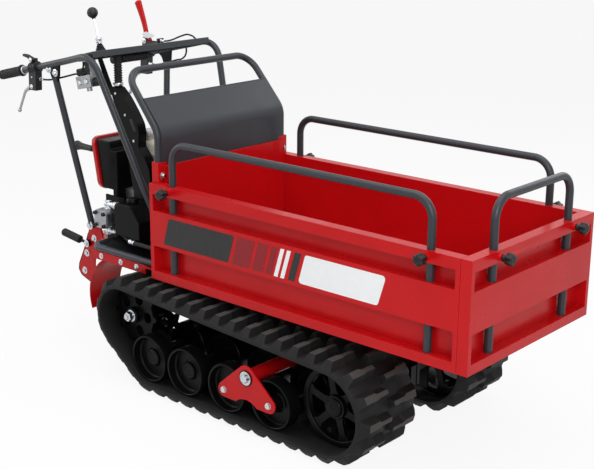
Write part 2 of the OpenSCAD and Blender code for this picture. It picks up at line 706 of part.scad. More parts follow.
// Steps of the pressure hose: the run forward of the union, and the share of the way out to the bracket
hose_steps = [
    [0, 0], [6, 0], [12, 0], [28.2, 0.043], [44.5, 0.156], [60.7, 0.316], [77, 0.5],
    [93.2, 0.684], [109.5, 0.844], [125.7, 0.957], [142, 1]
];
pressure_route = concat(
    [for (step = hose_steps)
        [hose_x + step[0], port_y + (hose_end_y - port_y)*step[1], low_port_z]],
    [for (x = [-120, -80, hose_bracket_x - seat_gap]) [x, hose_end_y, low_port_z]]
);
module hydraulic_hoses() color(rubber) {
    cable(suction_route, suction_d, 2, 12);
    cable(pressure_route, hose_d, 2, 10);
}

// Handlebars, struts and the controls on them
module bar_sleeve(x, y, l) translate([x, y, on_bar(x)[1]]) rotate([0, 90 - bar_slope, 0])
    translate([0, 0, -l/2]) children();
module handlebars() color(paint_grey) both() {
    bent_tube([
        [grip_end[0] + 4, -bar_y, grip_end[1] + 4*tan(bar_slope)], [splay_x, -bar_y, on_bar(splay_x)[1]],
        [bar_corner[0], -corner_y, bar_corner[1]], [bar_foot[0], -bar_foot[1], bar_foot_z]
    ], bar_d, bar_bend);
    rod([strut_top[0], -bar_y, strut_top[1]],
        [strut_foot[0], -plate_y - plate_t - bar_d/2 - seat_gap, strut_foot[1]], bar_d);
    slab(-bar_y, 5) polygon([
        [strut_top[0] - 26, on_bar(strut_top[0] - 26)[1]], [strut_top[0] + 26, on_bar(strut_top[0] + 26)[1]],
        [strut_top[0] + 16, strut_top[1] - 14], [strut_top[0] - 14, strut_top[1] - 6]
    ]);
}
module on_console(s, n) translate([console_at(s, n)[0], 0, console_at(s, n)[1]])
    rotate([0, -bar_slope, 0]) children();
module console_plan(wall) {
    s = [console_s[0] + wall, console_s[1] - wall];
    y = [for (k = [0, 1]) bar_out(console_at(s[k], 0)[0]) - bar_d/2 - console_clear[k] - wall];
    polygon([[s[0], -y[0]], [s[1], -y[1]], [s[1], y[1]], [s[0], y[0]]]);
}
module console() color(paint_grey) on_console(0, 0) difference() {
    translate([0, 0, -console_h/2]) linear_extrude(console_h) console_plan(0);
    translate([0, 0, -console_h]) linear_extrude(3*console_h/2 - console_wall) console_plan(console_wall);
}
rib_count = 9;
module grips() color(rubber) both() {
    x = grip_end[0] + grip_l/2*cos(bar_slope);
    bar_sleeve(x, -bar_y, grip_l) rotate_extrude() difference() {
        union() {
            square([grip_d/2 - grip_rib, grip_l]);
            for (k = [0 : rib_count - 1]) translate([0, 10 + (grip_l - 24)*k/(rib_count - 1)])
                square([grip_d/2, 5]);
            translate([0, grip_l - 5]) square([grip_d/2 + 3, 5]);
        }
        translate([-1, 4]) square([bar_d/2 + run_gap + 1, grip_l]);
    }
}
module lever_housing() {
    difference() {
        union() {
            bar_sleeve(housing_x, -bar_y, 38) cylinder(h = 38, r = bar_d/2 + 7);
            slab(-bar_y, 26) polygon([
                [lever_pivot[0] - 14, lever_pivot[1] - 12], [lever_pivot[0] + 22, lever_pivot[1] - 12],
                [housing_x + 19, housing_z], [housing_x - 19, housing_z]
            ]);
        }
        bar_sleeve(housing_x, -bar_y, 60) cylinder(h = 60, r = bar_d/2 + run_gap);
        block([lever_pivot[0] - 30, -bar_y - lever_half - 0.5, lever_pivot[1] - 20],
            [lever_pivot[0] + 13, lever_half + 0.5 - bar_y, lever_pivot[1] + 19]);
    }
    pin_y(lever_pivot[0], lever_pivot[1], -bar_y - 13, 13 - bar_y, lever_pin_r);
}
module lever_housings() color(black) {
    both() lever_housing();
    slab(-bar_y, 12) translate([housing_x - 9, housing_z + 14]) square([18, 18]);
    pin_y(throttle_pivot[0], throttle_pivot[1], -bar_y - 18, -bar_y, 5);
    difference() {
        union() {
            bar_sleeve(clutch_x, bar_y, 34) cylinder(h = 34, r = bar_d/2 + 6);
            for (s = [-1, 1]) slab(bar_y + s*11, 6) {
                translate(clutch_pivot) circle(r = 11);
                translate([clutch_x - 19, on_bar(clutch_x)[1] + 8]) square([19 + cable_stop[1], 34]);
            }
            block([clutch_x + cable_stop[0], bar_y - 14, clutch_pivot[1] - 12],
                [clutch_x + cable_stop[1], bar_y + 14, clutch_pivot[1] + 14]);
        }
        bar_sleeve(clutch_x, bar_y, 160) cylinder(h = 160, r = bar_d/2 + run_gap);
        bar_sleeve(housing_x, bar_y, 38.6) cylinder(h = 38.6, r = bar_d/2 + 7 + seat_gap);
    }
    pin_y(clutch_pivot[0], clutch_pivot[1], bar_y - 14, bar_y + 14, 4);
}
module on_eye(p, y, half) translate([p[0], y + half, p[1]]) rotate([90, 0, 0]) children();
module steering_lever() color(zinc) difference() {
    union() {
        on_eye(lever_pivot, -bar_y, lever_half) cylinder(h = 2*lever_half, r = 9);
        bent_tube([
            [lever_pivot[0], -bar_y, lever_pivot[1]], [lever_pivot[0] - 50, -bar_y, lever_pivot[1] - 18],
            [lever_pivot[0] - 90, -bar_y, lever_pivot[1] - 92]
        ], 9, 40);
        translate([lever_pivot[0] - 90, -bar_y, lever_pivot[1] - 92]) sphere(r = 7);
    }
    pin_y(lever_pivot[0], lever_pivot[1], -bar_y - 20, 20 - bar_y, lever_pin_r + run_gap);
}
module throttle_lever() color(black) difference() {
    union() {
        on_eye(throttle_pivot, -bar_y - 12, 5) cylinder(h = 10, r = 10);
        slab(-bar_y - 12, 8) polygon([
            throttle_pivot + [-6, 4], throttle_pivot + [-42, 9],
            throttle_pivot + [-41, 16], throttle_pivot + [4, 9]
        ]);
    }
    pin_y(throttle_pivot[0], throttle_pivot[1], -bar_y - 30, -bar_y, 5 + run_gap);
}
module clutch_lever() color(paint_red) difference() {
    union() {
        on_eye(clutch_pivot, bar_y, 7.5) cylinder(h = 15, r = 13);
        slab(bar_y, 13) polygon([
            clutch_pivot + [-12, 4], clutch_pivot + [12, 4], clutch_pivot + [2, 36],
            clutch_pivot + [-13, 86], clutch_pivot + [-32, 138], clutch_pivot + [-37, 142],
            clutch_pivot + [-51, 140], clutch_pivot + [-54, 134], clutch_pivot + [-30, 82],
            clutch_pivot + [-13, 34]
        ]);
    }
    pin_y(clutch_pivot[0], clutch_pivot[1], bar_y - 30, bar_y + 30, 4 + run_gap);
}
module gear_boot() color(rubber) on_console(gear_s, console_h/2) translate([0, gear_y, 0]) {
    rotate_extrude() polygon([
        [0, seat_gap], [15, seat_gap], [15, 4], [12.5, 5.5], [14, 9], [11, 10.5], [12.5, 14],
        [9.5, 15.5], [10.5, 19], [8, 20.5], [8, 24], [0, 24]
    ]);
    color(zinc) translate([0, 0, 24 + seat_gap]) cylinder(h = 4, r = 6);
    color(zinc) for (s = [-1, 1]) slab(s*6.5, 3) {
        translate([-6, 26]) square([12, gear_up - 26]);
        translate([0, gear_up]) circle(r = 6);
    }
    color(zinc) slab(0, 16) translate([-6, 26]) square([12, 3]);
    color(zinc) pin_y(0, gear_up, -9, 9, 3);
}
module gear_lever() color(zinc) translate([gear_pivot[0], gear_y, gear_pivot[1]]) rotate([0, -gear_lean, 0])
    difference() {
        union() {
            pin_y(0, 0, -4.5, 4.5, 7);
            cylinder(h = gear_l, r = 4);
            translate([0, 0, gear_l]) sphere(d = ball_d);
        }
        pin_y(0, 0, -12, 12, 3 + run_gap);
    }
module dump_lever() color(black) difference() {
    union() {
        on_eye(dump_pivot, dump_y - 8, 5) cylinder(h = 10, r = 11);
        translate([dump_pivot[0], dump_y - 8, dump_pivot[1]]) rotate([0, dump_rise - 90, 0]) {
            cylinder(h = 60, d = 9);
            translate([0, 0, 40]) rotate_extrude()
                for (k = [0 : 8]) translate([0, 10*k]) polygon([[0, 0], [12, 0], [14, 5], [12, 10], [0, 10]]);
        }
    }
    pin_y(dump_pivot[0], dump_pivot[1], dump_y - 30, dump_y, dump_pin_r + run_gap);
}
module valve_block() color(zinc) on_console(0, 0) {
    y = (valve_y[0] + valve_y[1])/2;
    block([valve_s[0], valve_y[0], valve_n[0]], [valve_s[1], valve_y[1], valve_n[1]]);
    block([console_s[0] - 17, y - 16, valve_n[1] - 1], [valve_s[1], y + 16, -console_h/2 - seat_gap]);
    translate([valve_s[1] - 1, y, valve_n[0] + 14]) rotate([0, 90, 0]) cylinder(h = 28, r = 12);
    translate([valve_s[0] + 32, y, valve_n[0] - 12]) cylinder(h = 13, r = 9);
}
conduit_rib = 8;
conduit_r = 14;
module ribbed_tube(l) rotate_extrude() difference() {
    union() {
        square([conduit_r - 2.5, l]);
        for (k = [0 : floor(l/conduit_rib) - 1]) translate([0, conduit_rib*k + 1]) square([conduit_r, 5]);
    }
    translate([-1, -1]) square([conduit_r - 4, l + 2]);
}
conduit_run = 116;
module cable_conduit() color(black) {
    low = column_top + seat_gap;
    high = on_bar(conduit_x - conduit_r)[1] + (console_h/2 - console_wall - seat_gap)/cos(bar_slope);
    translate([conduit_x, conduit_y, low]) ribbed_tube(high - low);
    translate([conduit_x - 2, conduit_y + conduit_r + seat_gap, on_bar(conduit_x)[1] - 22])
        rotate([-90, 0, 0]) ribbed_tube(conduit_run);
}
module column_cover() color(black) difference() {
    slab((column_y[0] + column_y[1])/2, column_y[1] - column_y[0]) polygon([
        [-352, column_top - 8], [-345, column_top], [-318, column_top], [-283, column_top - 30],
        [-248, column_top - 73], [-224, column_top - 107], [-216, column_top - 139],
        [-221, column_top - 182], [-196, column_top - 210], [-173, column_top - 248],
        [-160, deck_top + 182], [-158, deck_top], [-232, deck_top], [-246, deck_top + 200],
        [-262, deck_top + 320], [-300, column_top - 99]
    ]);
    slab(column_y[0], 12) polygon(wrap([[-236, column_top - 129, 5], [-252, column_top - 99, 5]], 0));
}
module cable_set(y) {
    low = housing_z - 36;
    rim = console_rim - [0, 3*tan(bar_slope) + seat_gap];
    cable([
        [housing_x + 17.2, y*0.98, low], [housing_x + 23, y*0.98, low], [housing_x + 29, y*0.98, low],
        [-555, y*0.965, low + 1], [-500, y*0.935, low + 13], [-455, y*0.925, low + 25],
        [rim[0] - 44, y*0.92, low + 32],
        [rim[0] - 29, y*0.92, rim[1] - 42], [rim[0] - 17, y*0.92, rim[1] - 36],
        [rim[0] - 7, y*0.92, rim[1] - 28], [rim[0] - 2, y*0.92, rim[1] - 19],
        [rim[0], y*0.92, rim[1] - 11], [rim[0], y*0.92, rim[1] - 5], [rim[0], y*0.92, rim[1]]
    ], 6, 2, 8);
}
module control_cables() color(black) {
    stop_x = clutch_x + cable_stop[1] + seat_gap;
    base = clutch_pivot[1];
    end = console_at(-7, console_h/2 + 3);
    drop = [cos(30), 0, -sin(30)];
    cable_set(-bar_y);
    cable_set(bar_y);
    cable([
        [stop_x, bar_y, base + 6], [stop_x + 6, bar_y, base + 6], [stop_x + 12, bar_y, base + 6],
        [-500, bar_y, base + 8.5], [-475, bar_y, base + 15], [-445, bar_y - 1, base + 26],
        [-418, bar_y - 2, base + 35], [end[0] - 42, bar_y - 3, end[1] + 10.5],
        [end[0] - 25, bar_y - 4, end[1] + 9.5],
        for (d = [12, 6, 0]) [end[0], bar_y - 4, end[1]] - d*drop
    ], 6, 2, 8);
}

// Tipping box: floor, panels and hoops
sleeve_d = slide_rod_d + 2*sleeve_wall;
module box_floor() color(paint_red) difference() {
    union() {
        block([sheet_t, 1 - box_in, floor_z - 3], [front_in - 1, box_in - 1, floor_z]);
        both() {
            for (y = [hinge_lug_y[0], 210]) block([40, -y - 14, box_z], [front_in - 40, -y, floor_z - 2]);
            slab(-(hinge_lug_y[0] + hinge_lug_y[1])/2, hinge_lug_y[1] - hinge_lug_y[0]) {
                translate([hinge_x - 15, hinge_z]) square([30, floor_z - 2 - hinge_z]);
                translate([hinge_x, hinge_z]) circle(r = 15);
            }
            slab(-ram_half - 6, 10) {
                translate([ram_head_x - 15, ram_head_z]) square([30, floor_z - 2 - ram_head_z]);
                translate([ram_head_x, ram_head_z]) circle(r = 15);
            }
        }
        for (x = slide_xs) pin_y(x, slide_z, 1 - box_in, box_in - 1, sleeve_d/2);
        for (y = slide_ys) translate([front_in - 1 - slide_rod_l, y, slide_z]) rotate([0, 90, 0])
            cylinder(h = slide_rod_l, d = sleeve_d);
        pin_y(ram_head_x, ram_head_z, -ram_half - 9, ram_half + 9, ram_pin_r);
    }
    for (x = slide_xs) pin_y(x, slide_z, -box_in, box_in, slide_rod_d/2 + slide_gap);
    for (y = slide_ys) translate([front_in - 6 - slide_rod_l, y, slide_z]) rotate([0, 90, 0])
        cylinder(h = slide_rod_l + 10, r = slide_rod_d/2 + slide_gap);
    pin_y(hinge_x, hinge_z, -hinge_lug_y[1] - 1, hinge_lug_y[1] + 1, hinge_pin_r + run_gap);
}

// Folded panel of length l along x, its inner face at y = 0 and its depth towards -y
module panel_section() {
    square([sheet_t, box_h]);
    module hat(z0, z1) difference() {
        translate([0, z0]) square([panel_t, z1 - z0]);
        translate([sheet_t, z0 + sheet_t]) square([panel_t - 2*sheet_t, z1 - z0 - 2*sheet_t]);
    }
    hat(0, foot_rail_h);
    hat(band_up, band_up + band_h);
    hat(box_h - top_rail_h, box_h);
}
module folded_panel(l, legs) translate([0, 0, box_z]) difference() {
    union() {
        rotate([90, 0, -90]) mirror([0, 0, 1]) linear_extrude(l) panel_section();
        for (x = [0, l - post_w]) block([x, -panel_t, 0], [x + post_w, 0, box_h]);
        for (x = legs) translate([x, 1 - panel_t, knob_z - box_z]) rotate([90, 0, 0])
            cylinder(h = boss_l + 1, d = boss_d);
    }
    for (x = legs) {
        translate([x, -leg_off, foot_rail_h]) cylinder(h = box_h, r = tube_d/2 + slide_gap);
        translate([x, -leg_off, knob_z - box_z]) rotate([90, 0, 0])
            cylinder(h = panel_t + boss_l, r = stud_d/2 + slide_gap);
    }
}
side_legs = [side_hoop_rear, box_l - side_hoop_front];
front_legs = [box_w/2 - front_hoop_w/2, box_w/2 + front_hoop_w/2];
side_l = front_in - 1;
module side_panel() color(paint_red) {
    translate([0, -box_in, 0]) folded_panel(side_l, side_legs);
    for (x = slide_xs) pin_y(x, slide_z, -box_in - 1, slide_rod_l - box_in, slide_rod_d/2);
}
module turned_front() translate([front_in, -box_w/2, 0]) rotate([0, 0, 90]) children();
module front_panel() color(paint_red) {
    turned_front() folded_panel(box_w, front_legs);
    for (y = slide_ys) translate([front_in + 1 - slide_rod_l, y, slide_z]) rotate([0, 90, 0])
        cylinder(h = slide_rod_l, d = slide_rod_d);
}
hoop_z = box_top + hoop_rise;
hoop_foot = floor_z + seat_gap;
module hoop(legs) bent_tube([
    [legs[0], -leg_off, hoop_foot], [legs[0], -leg_off, hoop_z],
    [legs[1], -leg_off, hoop_z], [legs[1], -leg_off, hoop_foot]
], tube_d, hoop_bend);
module side_hoop() color(paint_grey) translate([0, -box_in, 0]) hoop(side_legs);
module front_hoop() color(paint_grey) turned_front() hoop(front_legs);
module knob() {
    tip = panel_t - leg_off - tube_d/2 - seat_gap;
    translate([0, 0, -tip]) cylinder(h = tip + boss_l + 4, r = stud_d/2);
    translate([0, 0, boss_l + 2]) cylinder(h = 14, d = knob_d*0.5);
    translate([0, 0, boss_l + 2 + 11]) linear_extrude(knob_l - 11) {
        circle(d = knob_d*0.8);
        for (k = [0 : 5]) rotate(60*k) translate([knob_d*0.36, 0]) circle(d = knob_d*0.28);
    }
}
module knobs(legs) for (x = legs) translate([x, -panel_t, knob_z]) rotate([90, 0, 0]) knob();
module side_knobs() color(black) translate([0, -box_in, 0]) knobs(side_legs);
module knobs_front() color(black) turned_front() knobs(front_legs);

// Rear panel with its corner posts, and the headboard in them
head_y = box_w/2 - head_inset;
head_x = panel_t/2 - 5.5;
head_sheet_t = 3;
sheet_off = tube_d/2 + seat_gap + head_sheet_t/2;
socket_z = rear_top - 50;
post_in = head_y - 24;
module rear_panel() color(paint_red) difference() {
    y = box_in - 1;
    base = floor_z + seat_gap;
    rail_top = rear_top - 11;
    union() {
        block([panel_t - sheet_t, -y, base], [panel_t, y, rail_top]);
        for (z = [base, band_z, rail_top - top_rail_h])
            block([head_x + sheet_off + head_sheet_t/2 + seat_gap, -y, z], [panel_t, y, z + top_rail_h]);
        both() {
            block([0, -y, base], [panel_t, -post_in, box_top + 4]);
            block([head_x - 14, -head_y - 14, box_top + seat_gap], [head_x + 14, -post_in, rear_top]);
        }
    }
    both() translate([head_x, -head_y, socket_z]) cylinder(h = 60, r = tube_d/2 + slide_gap);
}
head_knee = rear_top + head_straight;
head_peak = [head_x - head_lean, head_knee + head_top];
head_in = 6;
module headboard_hoop() color(paint_grey) bent_tube([
    [head_x, -head_y, socket_z + seat_gap], [head_x, -head_y, head_knee],
    [head_peak[0], head_in - head_y, head_peak[1]], [head_peak[0], head_y - head_in, head_peak[1]],
    [head_x, head_y, head_knee], [head_x, head_y, socket_z + seat_gap]
], tube_d, head_bend);
lean_angle = atan2(head_lean, head_top);
sheet_up = norm([head_lean, head_top]) - head_gap;
sheet_knee = [head_x + sheet_off, head_knee + sheet_off*tan(lean_angle/2)];
module headboard_sheet() color(paint_grey) {
    slab(0, 2*(head_y - head_in - 2)) {
        translate([sheet_knee[0] - head_sheet_t/2, rear_top + seat_gap])
            square([head_sheet_t, sheet_knee[1] - rear_top - seat_gap]);
        translate(sheet_knee) rotate(lean_angle) translate([-head_sheet_t/2, -1])
            square([head_sheet_t, sheet_up]);
    }
    slab(0, 2*(post_in - 2)) translate([sheet_knee[0] - head_sheet_t/2, rear_top - 34])
        square([head_sheet_t, 40]);
}

// Tipping ram, its foot on the chassis shaft and its head under the floor
barrel_end = ram_l - 42;
module ram_frame() translate([ram_foot[0], 0, ram_foot[1]]) rotate([0, ram_tilt, 0]) children();
module ram_barrel() color(black) ram_frame() difference() {
    union() {
        translate([0, 0, 12]) cylinder(h = barrel_end - 12, d = barrel_d);
        rotate([90, 0, 0]) translate([0, 0, -ram_half]) cylinder(h = 2*ram_half, r = ram_pin_r + 9);
    }
    translate([0, 0, 28]) cylinder(h = barrel_end - 48, d = barrel_d - 10);
    translate([0, 0, 28]) cylinder(h = barrel_end, r = ram_rod_d/2 + slide_gap);
    rotate([90, 0, 0]) translate([0, 0, -ram_half - 1]) cylinder(h = 2*ram_half + 2, r = ram_pin_r + run_gap);
}
module ram_rod() color(zinc) ram_frame() difference() {
    union() {
        translate([0, 0, 34]) cylinder(h = ram_l - 34, d = ram_rod_d);
        translate([0, 0, 34]) cylinder(h = 14, d = barrel_d - 10 - 2*slide_gap);
        translate([0, 0, ram_l]) rotate([90, 0, 0]) translate([0, 0, -ram_half])
            cylinder(h = 2*ram_half, r = ram_pin_r + 8);
    }
    translate([0, 0, ram_l]) rotate([90, 0, 0]) translate([0, 0, -ram_half - 1])
        cylinder(h = 2*ram_half + 2, r = ram_pin_r + run_gap);
}

module place() translate([-mid_x, 0, 0]) children();

place() chassis_frame();
place() tracks();
place() rear_frame();
place() guard_tubes();
place() gearbox();
place() belt_cover();
place() drive_belt();
place() engine_block();
place() fan_shroud();
place() recoil_cover();
place() fuel_tank();
place() intake_and_exhaust();
place() gear_pump();
place() oil_tank();
place() hydraulic_hoses();
place() handlebars();
place() console();
place() grips();
place() lever_housings();
place() control_cables();
place() cable_conduit();
place() gear_boot();
place() column_cover();
place() valve_block();
place() box_floor();
place() rear_panel();
place() headboard_hoop();
place() headboard_sheet();
place() side_panel();  // side_panel_right
place() left() side_panel();  // side_panel_left
place() front_panel();
place() side_hoop();  // side_hoop_right
place() left() side_hoop();  // side_hoop_left
place() front_hoop();
place() side_knobs();  // knobs_right
place() left() side_knobs();  // knobs_left
place() knobs_front();
place() ram_barrel();
place() ram_rod();
place() sprocket();  // sprocket_right
place() left() sprocket();  // sprocket_left
place() idler();  // idler_right
place() left() idler();  // idler_left
place() roller(0);  // roller_right_1
place() roller(1);  // roller_right_2
place() roller(2);  // roller_right_3
place() roller(3);  // roller_right_4
place() left() roller(0);  // roller_left_1
place() left() roller(1);  // roller_left_2
place() left() roller(2);  // roller_left_3
place() left() roller(3);  // roller_left_4
place() bogie();  // bogie_right
place() left() bogie();  // bogie_left
place() steering_lever();  // steering_lever_right
place() left() steering_lever();  // steering_lever_left
place() throttle_lever();
place() gear_lever();
place() clutch_lever();
place() dump_lever();
place() starter_handle();
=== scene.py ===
"""Tracked power carrier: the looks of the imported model, in its own frame.

Lengths are millimetres, with x counted forward from the rear of the load box,
y to the machine's left and z up from the ground, as in the part's source.
"""
import math
from math import cos, pi, radians, sin, tan

import bmesh
import bpy
from mathutils import Matrix, Vector


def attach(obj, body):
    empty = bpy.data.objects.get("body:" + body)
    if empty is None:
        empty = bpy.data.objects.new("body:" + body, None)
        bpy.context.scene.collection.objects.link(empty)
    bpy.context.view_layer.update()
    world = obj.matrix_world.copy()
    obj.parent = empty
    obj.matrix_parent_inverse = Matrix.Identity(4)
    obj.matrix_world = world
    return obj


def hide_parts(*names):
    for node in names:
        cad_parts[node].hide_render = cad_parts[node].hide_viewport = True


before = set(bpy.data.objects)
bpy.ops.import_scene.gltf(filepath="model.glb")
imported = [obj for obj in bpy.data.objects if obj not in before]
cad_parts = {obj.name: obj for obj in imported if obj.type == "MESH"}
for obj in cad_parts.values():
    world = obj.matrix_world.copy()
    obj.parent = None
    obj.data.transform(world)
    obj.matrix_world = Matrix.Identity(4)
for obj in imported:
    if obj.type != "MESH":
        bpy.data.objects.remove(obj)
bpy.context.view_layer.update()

MIDDLE = 196.5  # the machine's middle, from the rear of the load box
SEAT = 0.3      # clearance at a seat


def row(p):
    """A place in the source's millimetres as a place in the shared frame."""
    return Vector(((p[0] - MIDDLE) * 0.001, p[1] * 0.001, p[2] * 0.001))


# Camera at the photograph's place

def photo_camera():
    turn, rise, roll = radians(41.12), radians(16.41), radians(0.38)
    back = Vector((sin(turn) * cos(rise), -cos(turn) * cos(rise), sin(rise)))
    right = Vector((cos(turn), sin(turn), 0))
    up = back.cross(right)
    across = right * cos(roll) + up * sin(roll)
    above = up * cos(roll) - right * sin(roll)
    data = bpy.data.cameras.new("photo_camera")
    data.sensor_width = 36
    data.lens = 72.66
    data.clip_end = 60
    camera = bpy.data.objects.new("photo_camera", data)
    camera.matrix_world = Matrix((
        (across.x, above.x, back.x, 2.4474),
        (across.y, above.y, back.y, -2.6540),
        (across.z, above.z, back.z, 1.5394),
        (0, 0, 0, 1),
    ))
    bpy.context.scene.collection.objects.link(camera)
    bpy.context.scene.camera = camera


photo_camera()


# Materials

def linear(colour):
    """An sRGB hex colour as linear red, green, blue and alpha."""
    parts = [int(colour[i:i + 2], 16) / 255 for i in (1, 3, 5)]
    return [c / 12.92 if c <= 0.04045 else ((c + 0.055) / 1.055) ** 2.4 for c in parts] + [1.0]


def add(tree, kind, inputs=None, **settings):
    """Adds a node; an input is a value or another node's output."""
    node = tree.nodes.new(kind)
    for key, value in settings.items():
        setattr(node, key, value)
    for key, value in (inputs or {}).items():
        if isinstance(value, bpy.types.NodeSocket):
            tree.links.new(value, node.inputs[key])
        else:
            node.inputs[key].default_value = value
    return node


def per_mm(size):
    """The texture scale whose features are about that many millimetres across."""
    return 1000 / size


def surface(name, colours, patch, rough, grain, depth, detail=3, shine=0.5, **sockets):
    """Two colours in soft patches, roughness that drifts with them and a fine bump; sizes in mm.

    shine is the specular level: 0.5 is a plain gloss, less is a finish that holds dust or pigment
    at its skin. The shader's other sockets are given by name, with _ for each space.
    """
    material = bpy.data.materials.new(name)
    material.use_nodes = True
    tree = material.node_tree
    skin = tree.nodes["Principled BSDF"]
    for socket, value in {"Specular_IOR_Level": shine, **sockets}.items():
        skin.inputs[socket.replace("_", " ")].default_value = value
    where = add(tree, "ShaderNodeTexCoord").outputs["Object"]
    cloud = add(tree, "ShaderNodeTexNoise",
                {"Vector": where, "Scale": per_mm(patch), "Detail": detail}).outputs[0]
    tone = add(tree, "ShaderNodeMix", {0: cloud, 6: linear(colours[0]), 7: linear(colours[1])},
               data_type="RGBA")
    gloss = add(tree, "ShaderNodeMapRange", {0: cloud, 1: 0.3, 2: 0.7, 3: rough[0], 4: rough[1]})
    grit = add(tree, "ShaderNodeTexNoise", {"Vector": where, "Scale": per_mm(grain), "Detail": 2})
    bump = add(tree, "ShaderNodeBump",
               {"Height": grit.outputs[0], "Strength": 1.0, "Distance": depth * 0.001})
    tree.links.new(tone.outputs[2], skin.inputs["Base Color"])
    tree.links.new(gloss.outputs[0], skin.inputs["Roughness"])
    tree.links.new(bump.outputs[0], skin.inputs["Normal"])
    return material


def red_powder_coat():
    """Powder coat, sprayed and baked on sheet steel: an even gloss over a faint orange peel."""
    return surface("red_powder_coat", ("#c00f14", "#b00b10"), patch=90, rough=(0.26, 0.36), grain=2.6,
                   depth=0.012, shine=0.15, Coat_Weight=0.08, Coat_Roughness=0.14)


def grey_powder_coat():
    """Textured powder coat on tube and plate: anthracite, satin, with a fine sandy grain."""
    return surface("grey_powder_coat", ("#303338", "#2a2d32"), patch=60, rough=(0.34, 0.44), grain=1.6,
                   depth=0.012, shine=0.28, Coat_Weight=0.06, Coat_Roughness=0.25)


def black_enamel():
    """Dipped enamel on cast wheels and pressed covers: deep black with a dull drift in its gloss."""
    return surface("black_enamel", ("#0a0a0b", "#070708"), patch=45, rough=(0.26, 0.4), grain=3.5,
                   depth=0.02, shine=0.1)


def track_rubber():
    """Carbon-filled rubber, pressed in a mould: dull black, chalky where dust has settled in."""
    return surface("track_rubber", ("#0f0f10", "#161617"), patch=38, rough=(0.62, 0.8), grain=1.8,
                   depth=0.08, detail=6, shine=0.25)


def scuffed_rubber():
    """The crowns of the lugs: the same rubber, rubbed grey in streaks by the ground."""
    return surface("scuffed_rubber", ("#333332", "#4c4a48"), patch=14, rough=(0.66, 0.86), grain=1.5,
                   depth=0.1, detail=7, shine=0.25)


def soft_rubber():
    """Soft moulded rubber of grips, boots and hoses: black with a bloom of grey."""
    return surface("soft_rubber", ("#151517", "#1e1e20"), patch=12, rough=(0.6, 0.74), grain=0.9,
                   depth=0.02, shine=0.3)


def moulded_abs():
    """Injection-moulded ABS with a spark-eroded grain."""
    return surface("moulded_abs", ("#141416", "#101012"), patch=40, rough=(0.4, 0.52), grain=0.8,
                   depth=0.02, shine=0.35)


def zinc_plate():
    """Bright zinc plating on bolts and fittings: bluish silver with cloudy gloss."""
    return surface("zinc_plate", ("#d3d6da", "#b9bdc2"), patch=9, rough=(0.2, 0.36), grain=1.2,
                   depth=0.01, Metallic=1.0)


def chrome_plate():
    """Chrome plating over polished steel: a clear mirror with the faintest drift."""
    return surface("chrome_plate", ("#e6e8ea", "#d8dbde"), patch=30, rough=(0.06, 0.12), grain=3.0,
                   depth=0.002, Metallic=1.0)


def cast_aluminium():
    """Sand-cast aluminium: grey metal with a pebbled skin."""
    return surface("cast_aluminium", ("#aeb0b2", "#8f9194"), patch=16, rough=(0.38, 0.56), grain=1.6,
                   depth=0.06, Metallic=1.0)


def dark_iron():
    """Grey cast iron under a thin oil film: nearly black metal."""
    return surface("dark_iron", ("#4a4a4b", "#333435"), patch=14, rough=(0.36, 0.5), grain=1.8,
                   depth=0.05, Metallic=0.8)


def cream_polyethylene():
    """Rotation-moulded polyethylene: milky, waxy and a little uneven."""
    return surface("cream_polyethylene", ("#ded9ca", "#d2ccba"), patch=70, rough=(0.36, 0.46), grain=4.0,
                   depth=0.03, Subsurface_Weight=0.15, Subsurface_Radius=(0.006, 0.004, 0.003))


def milky_polypropylene():
    """Unpigmented polypropylene of the filler cap: pale grey, waxy, letting a little light in."""
    return surface("milky_polypropylene", ("#d3d5d4", "#c2c5c5"), patch=24, rough=(0.3, 0.42), grain=3.0,
                   depth=0.02, Subsurface_Weight=0.2, Subsurface_Radius=(0.005, 0.005, 0.005))


def vinyl_film(name, colour, shade):
    """Printed vinyl film laid on the paint: smooth, slightly glossier than the coat."""
    return surface(name, (colour, shade), patch=50, rough=(0.24, 0.3), grain=5.0, depth=0.004, shine=0.25)


RED = red_powder_coat()
GREY = grey_powder_coat()
BLACK = black_enamel()
TRACK = track_rubber()
CROWN = scuffed_rubber()
RUBBER = soft_rubber()
ABS = moulded_abs()
ZINC = zinc_plate()
CHROME = chrome_plate()
CAST = cast_aluminium()
IRON = dark_iron()
CREAM = cream_polyethylene()
MILKY = milky_polypropylene()
WHITE_FILM = vinyl_film("white_vinyl_film", "#eceeef", "#e2e5e7")
DARK_FILM = vinyl_film("charcoal_vinyl_film", "#2e2c2d", "#272526")
WINE_FILM = vinyl_film("wine_vinyl_film", "#8e1820", "#7f141b")


# Shapes, each a list of points and a list of faces

def prism(outline, lo, hi, axis):
    """An outline pushed along an axis: given as (x, z) for y, (y, z) for x and (x, y) for z."""
    put = {"x": lambda a, b, c: (c, a, b), "y": lambda a, b, c: (a, c, b),
           "z": lambda a, b, c: (a, b, c)}[axis]
    n = len(outline)
    verts = [put(a, b, c) for c in (lo, hi) for a, b in outline]
    faces = [list(range(n)), list(range(2 * n - 1, n - 1, -1))]
    return verts, faces + [[i, (i + 1) % n, (i + 1) % n + n, i + n] for i in range(n)]


def brick(lo, hi):
    (x, y, z), (u, v, w) = lo, hi
    return prism([(x, z), (u, z), (u, w), (x, w)], y, v, "y")


def loft(rings, closed=False):
    """Rings of points joined in turn, with a face at each end unless they close on themselves."""
    n = len(rings[0])
    verts = [p for ring in rings for p in ring]
    faces = []
    for k in range(len(rings) if closed else len(rings) - 1):
        a, b = k * n, (k + 1) % len(rings) * n
        faces += [[a + i, a + (i + 1) % n, b + (i + 1) % n, b + i] for i in range(n)]
    if not closed:
        faces += [list(range(n)), list(range(len(verts) - 1, len(verts) - n - 1, -1))]
    return verts, faces


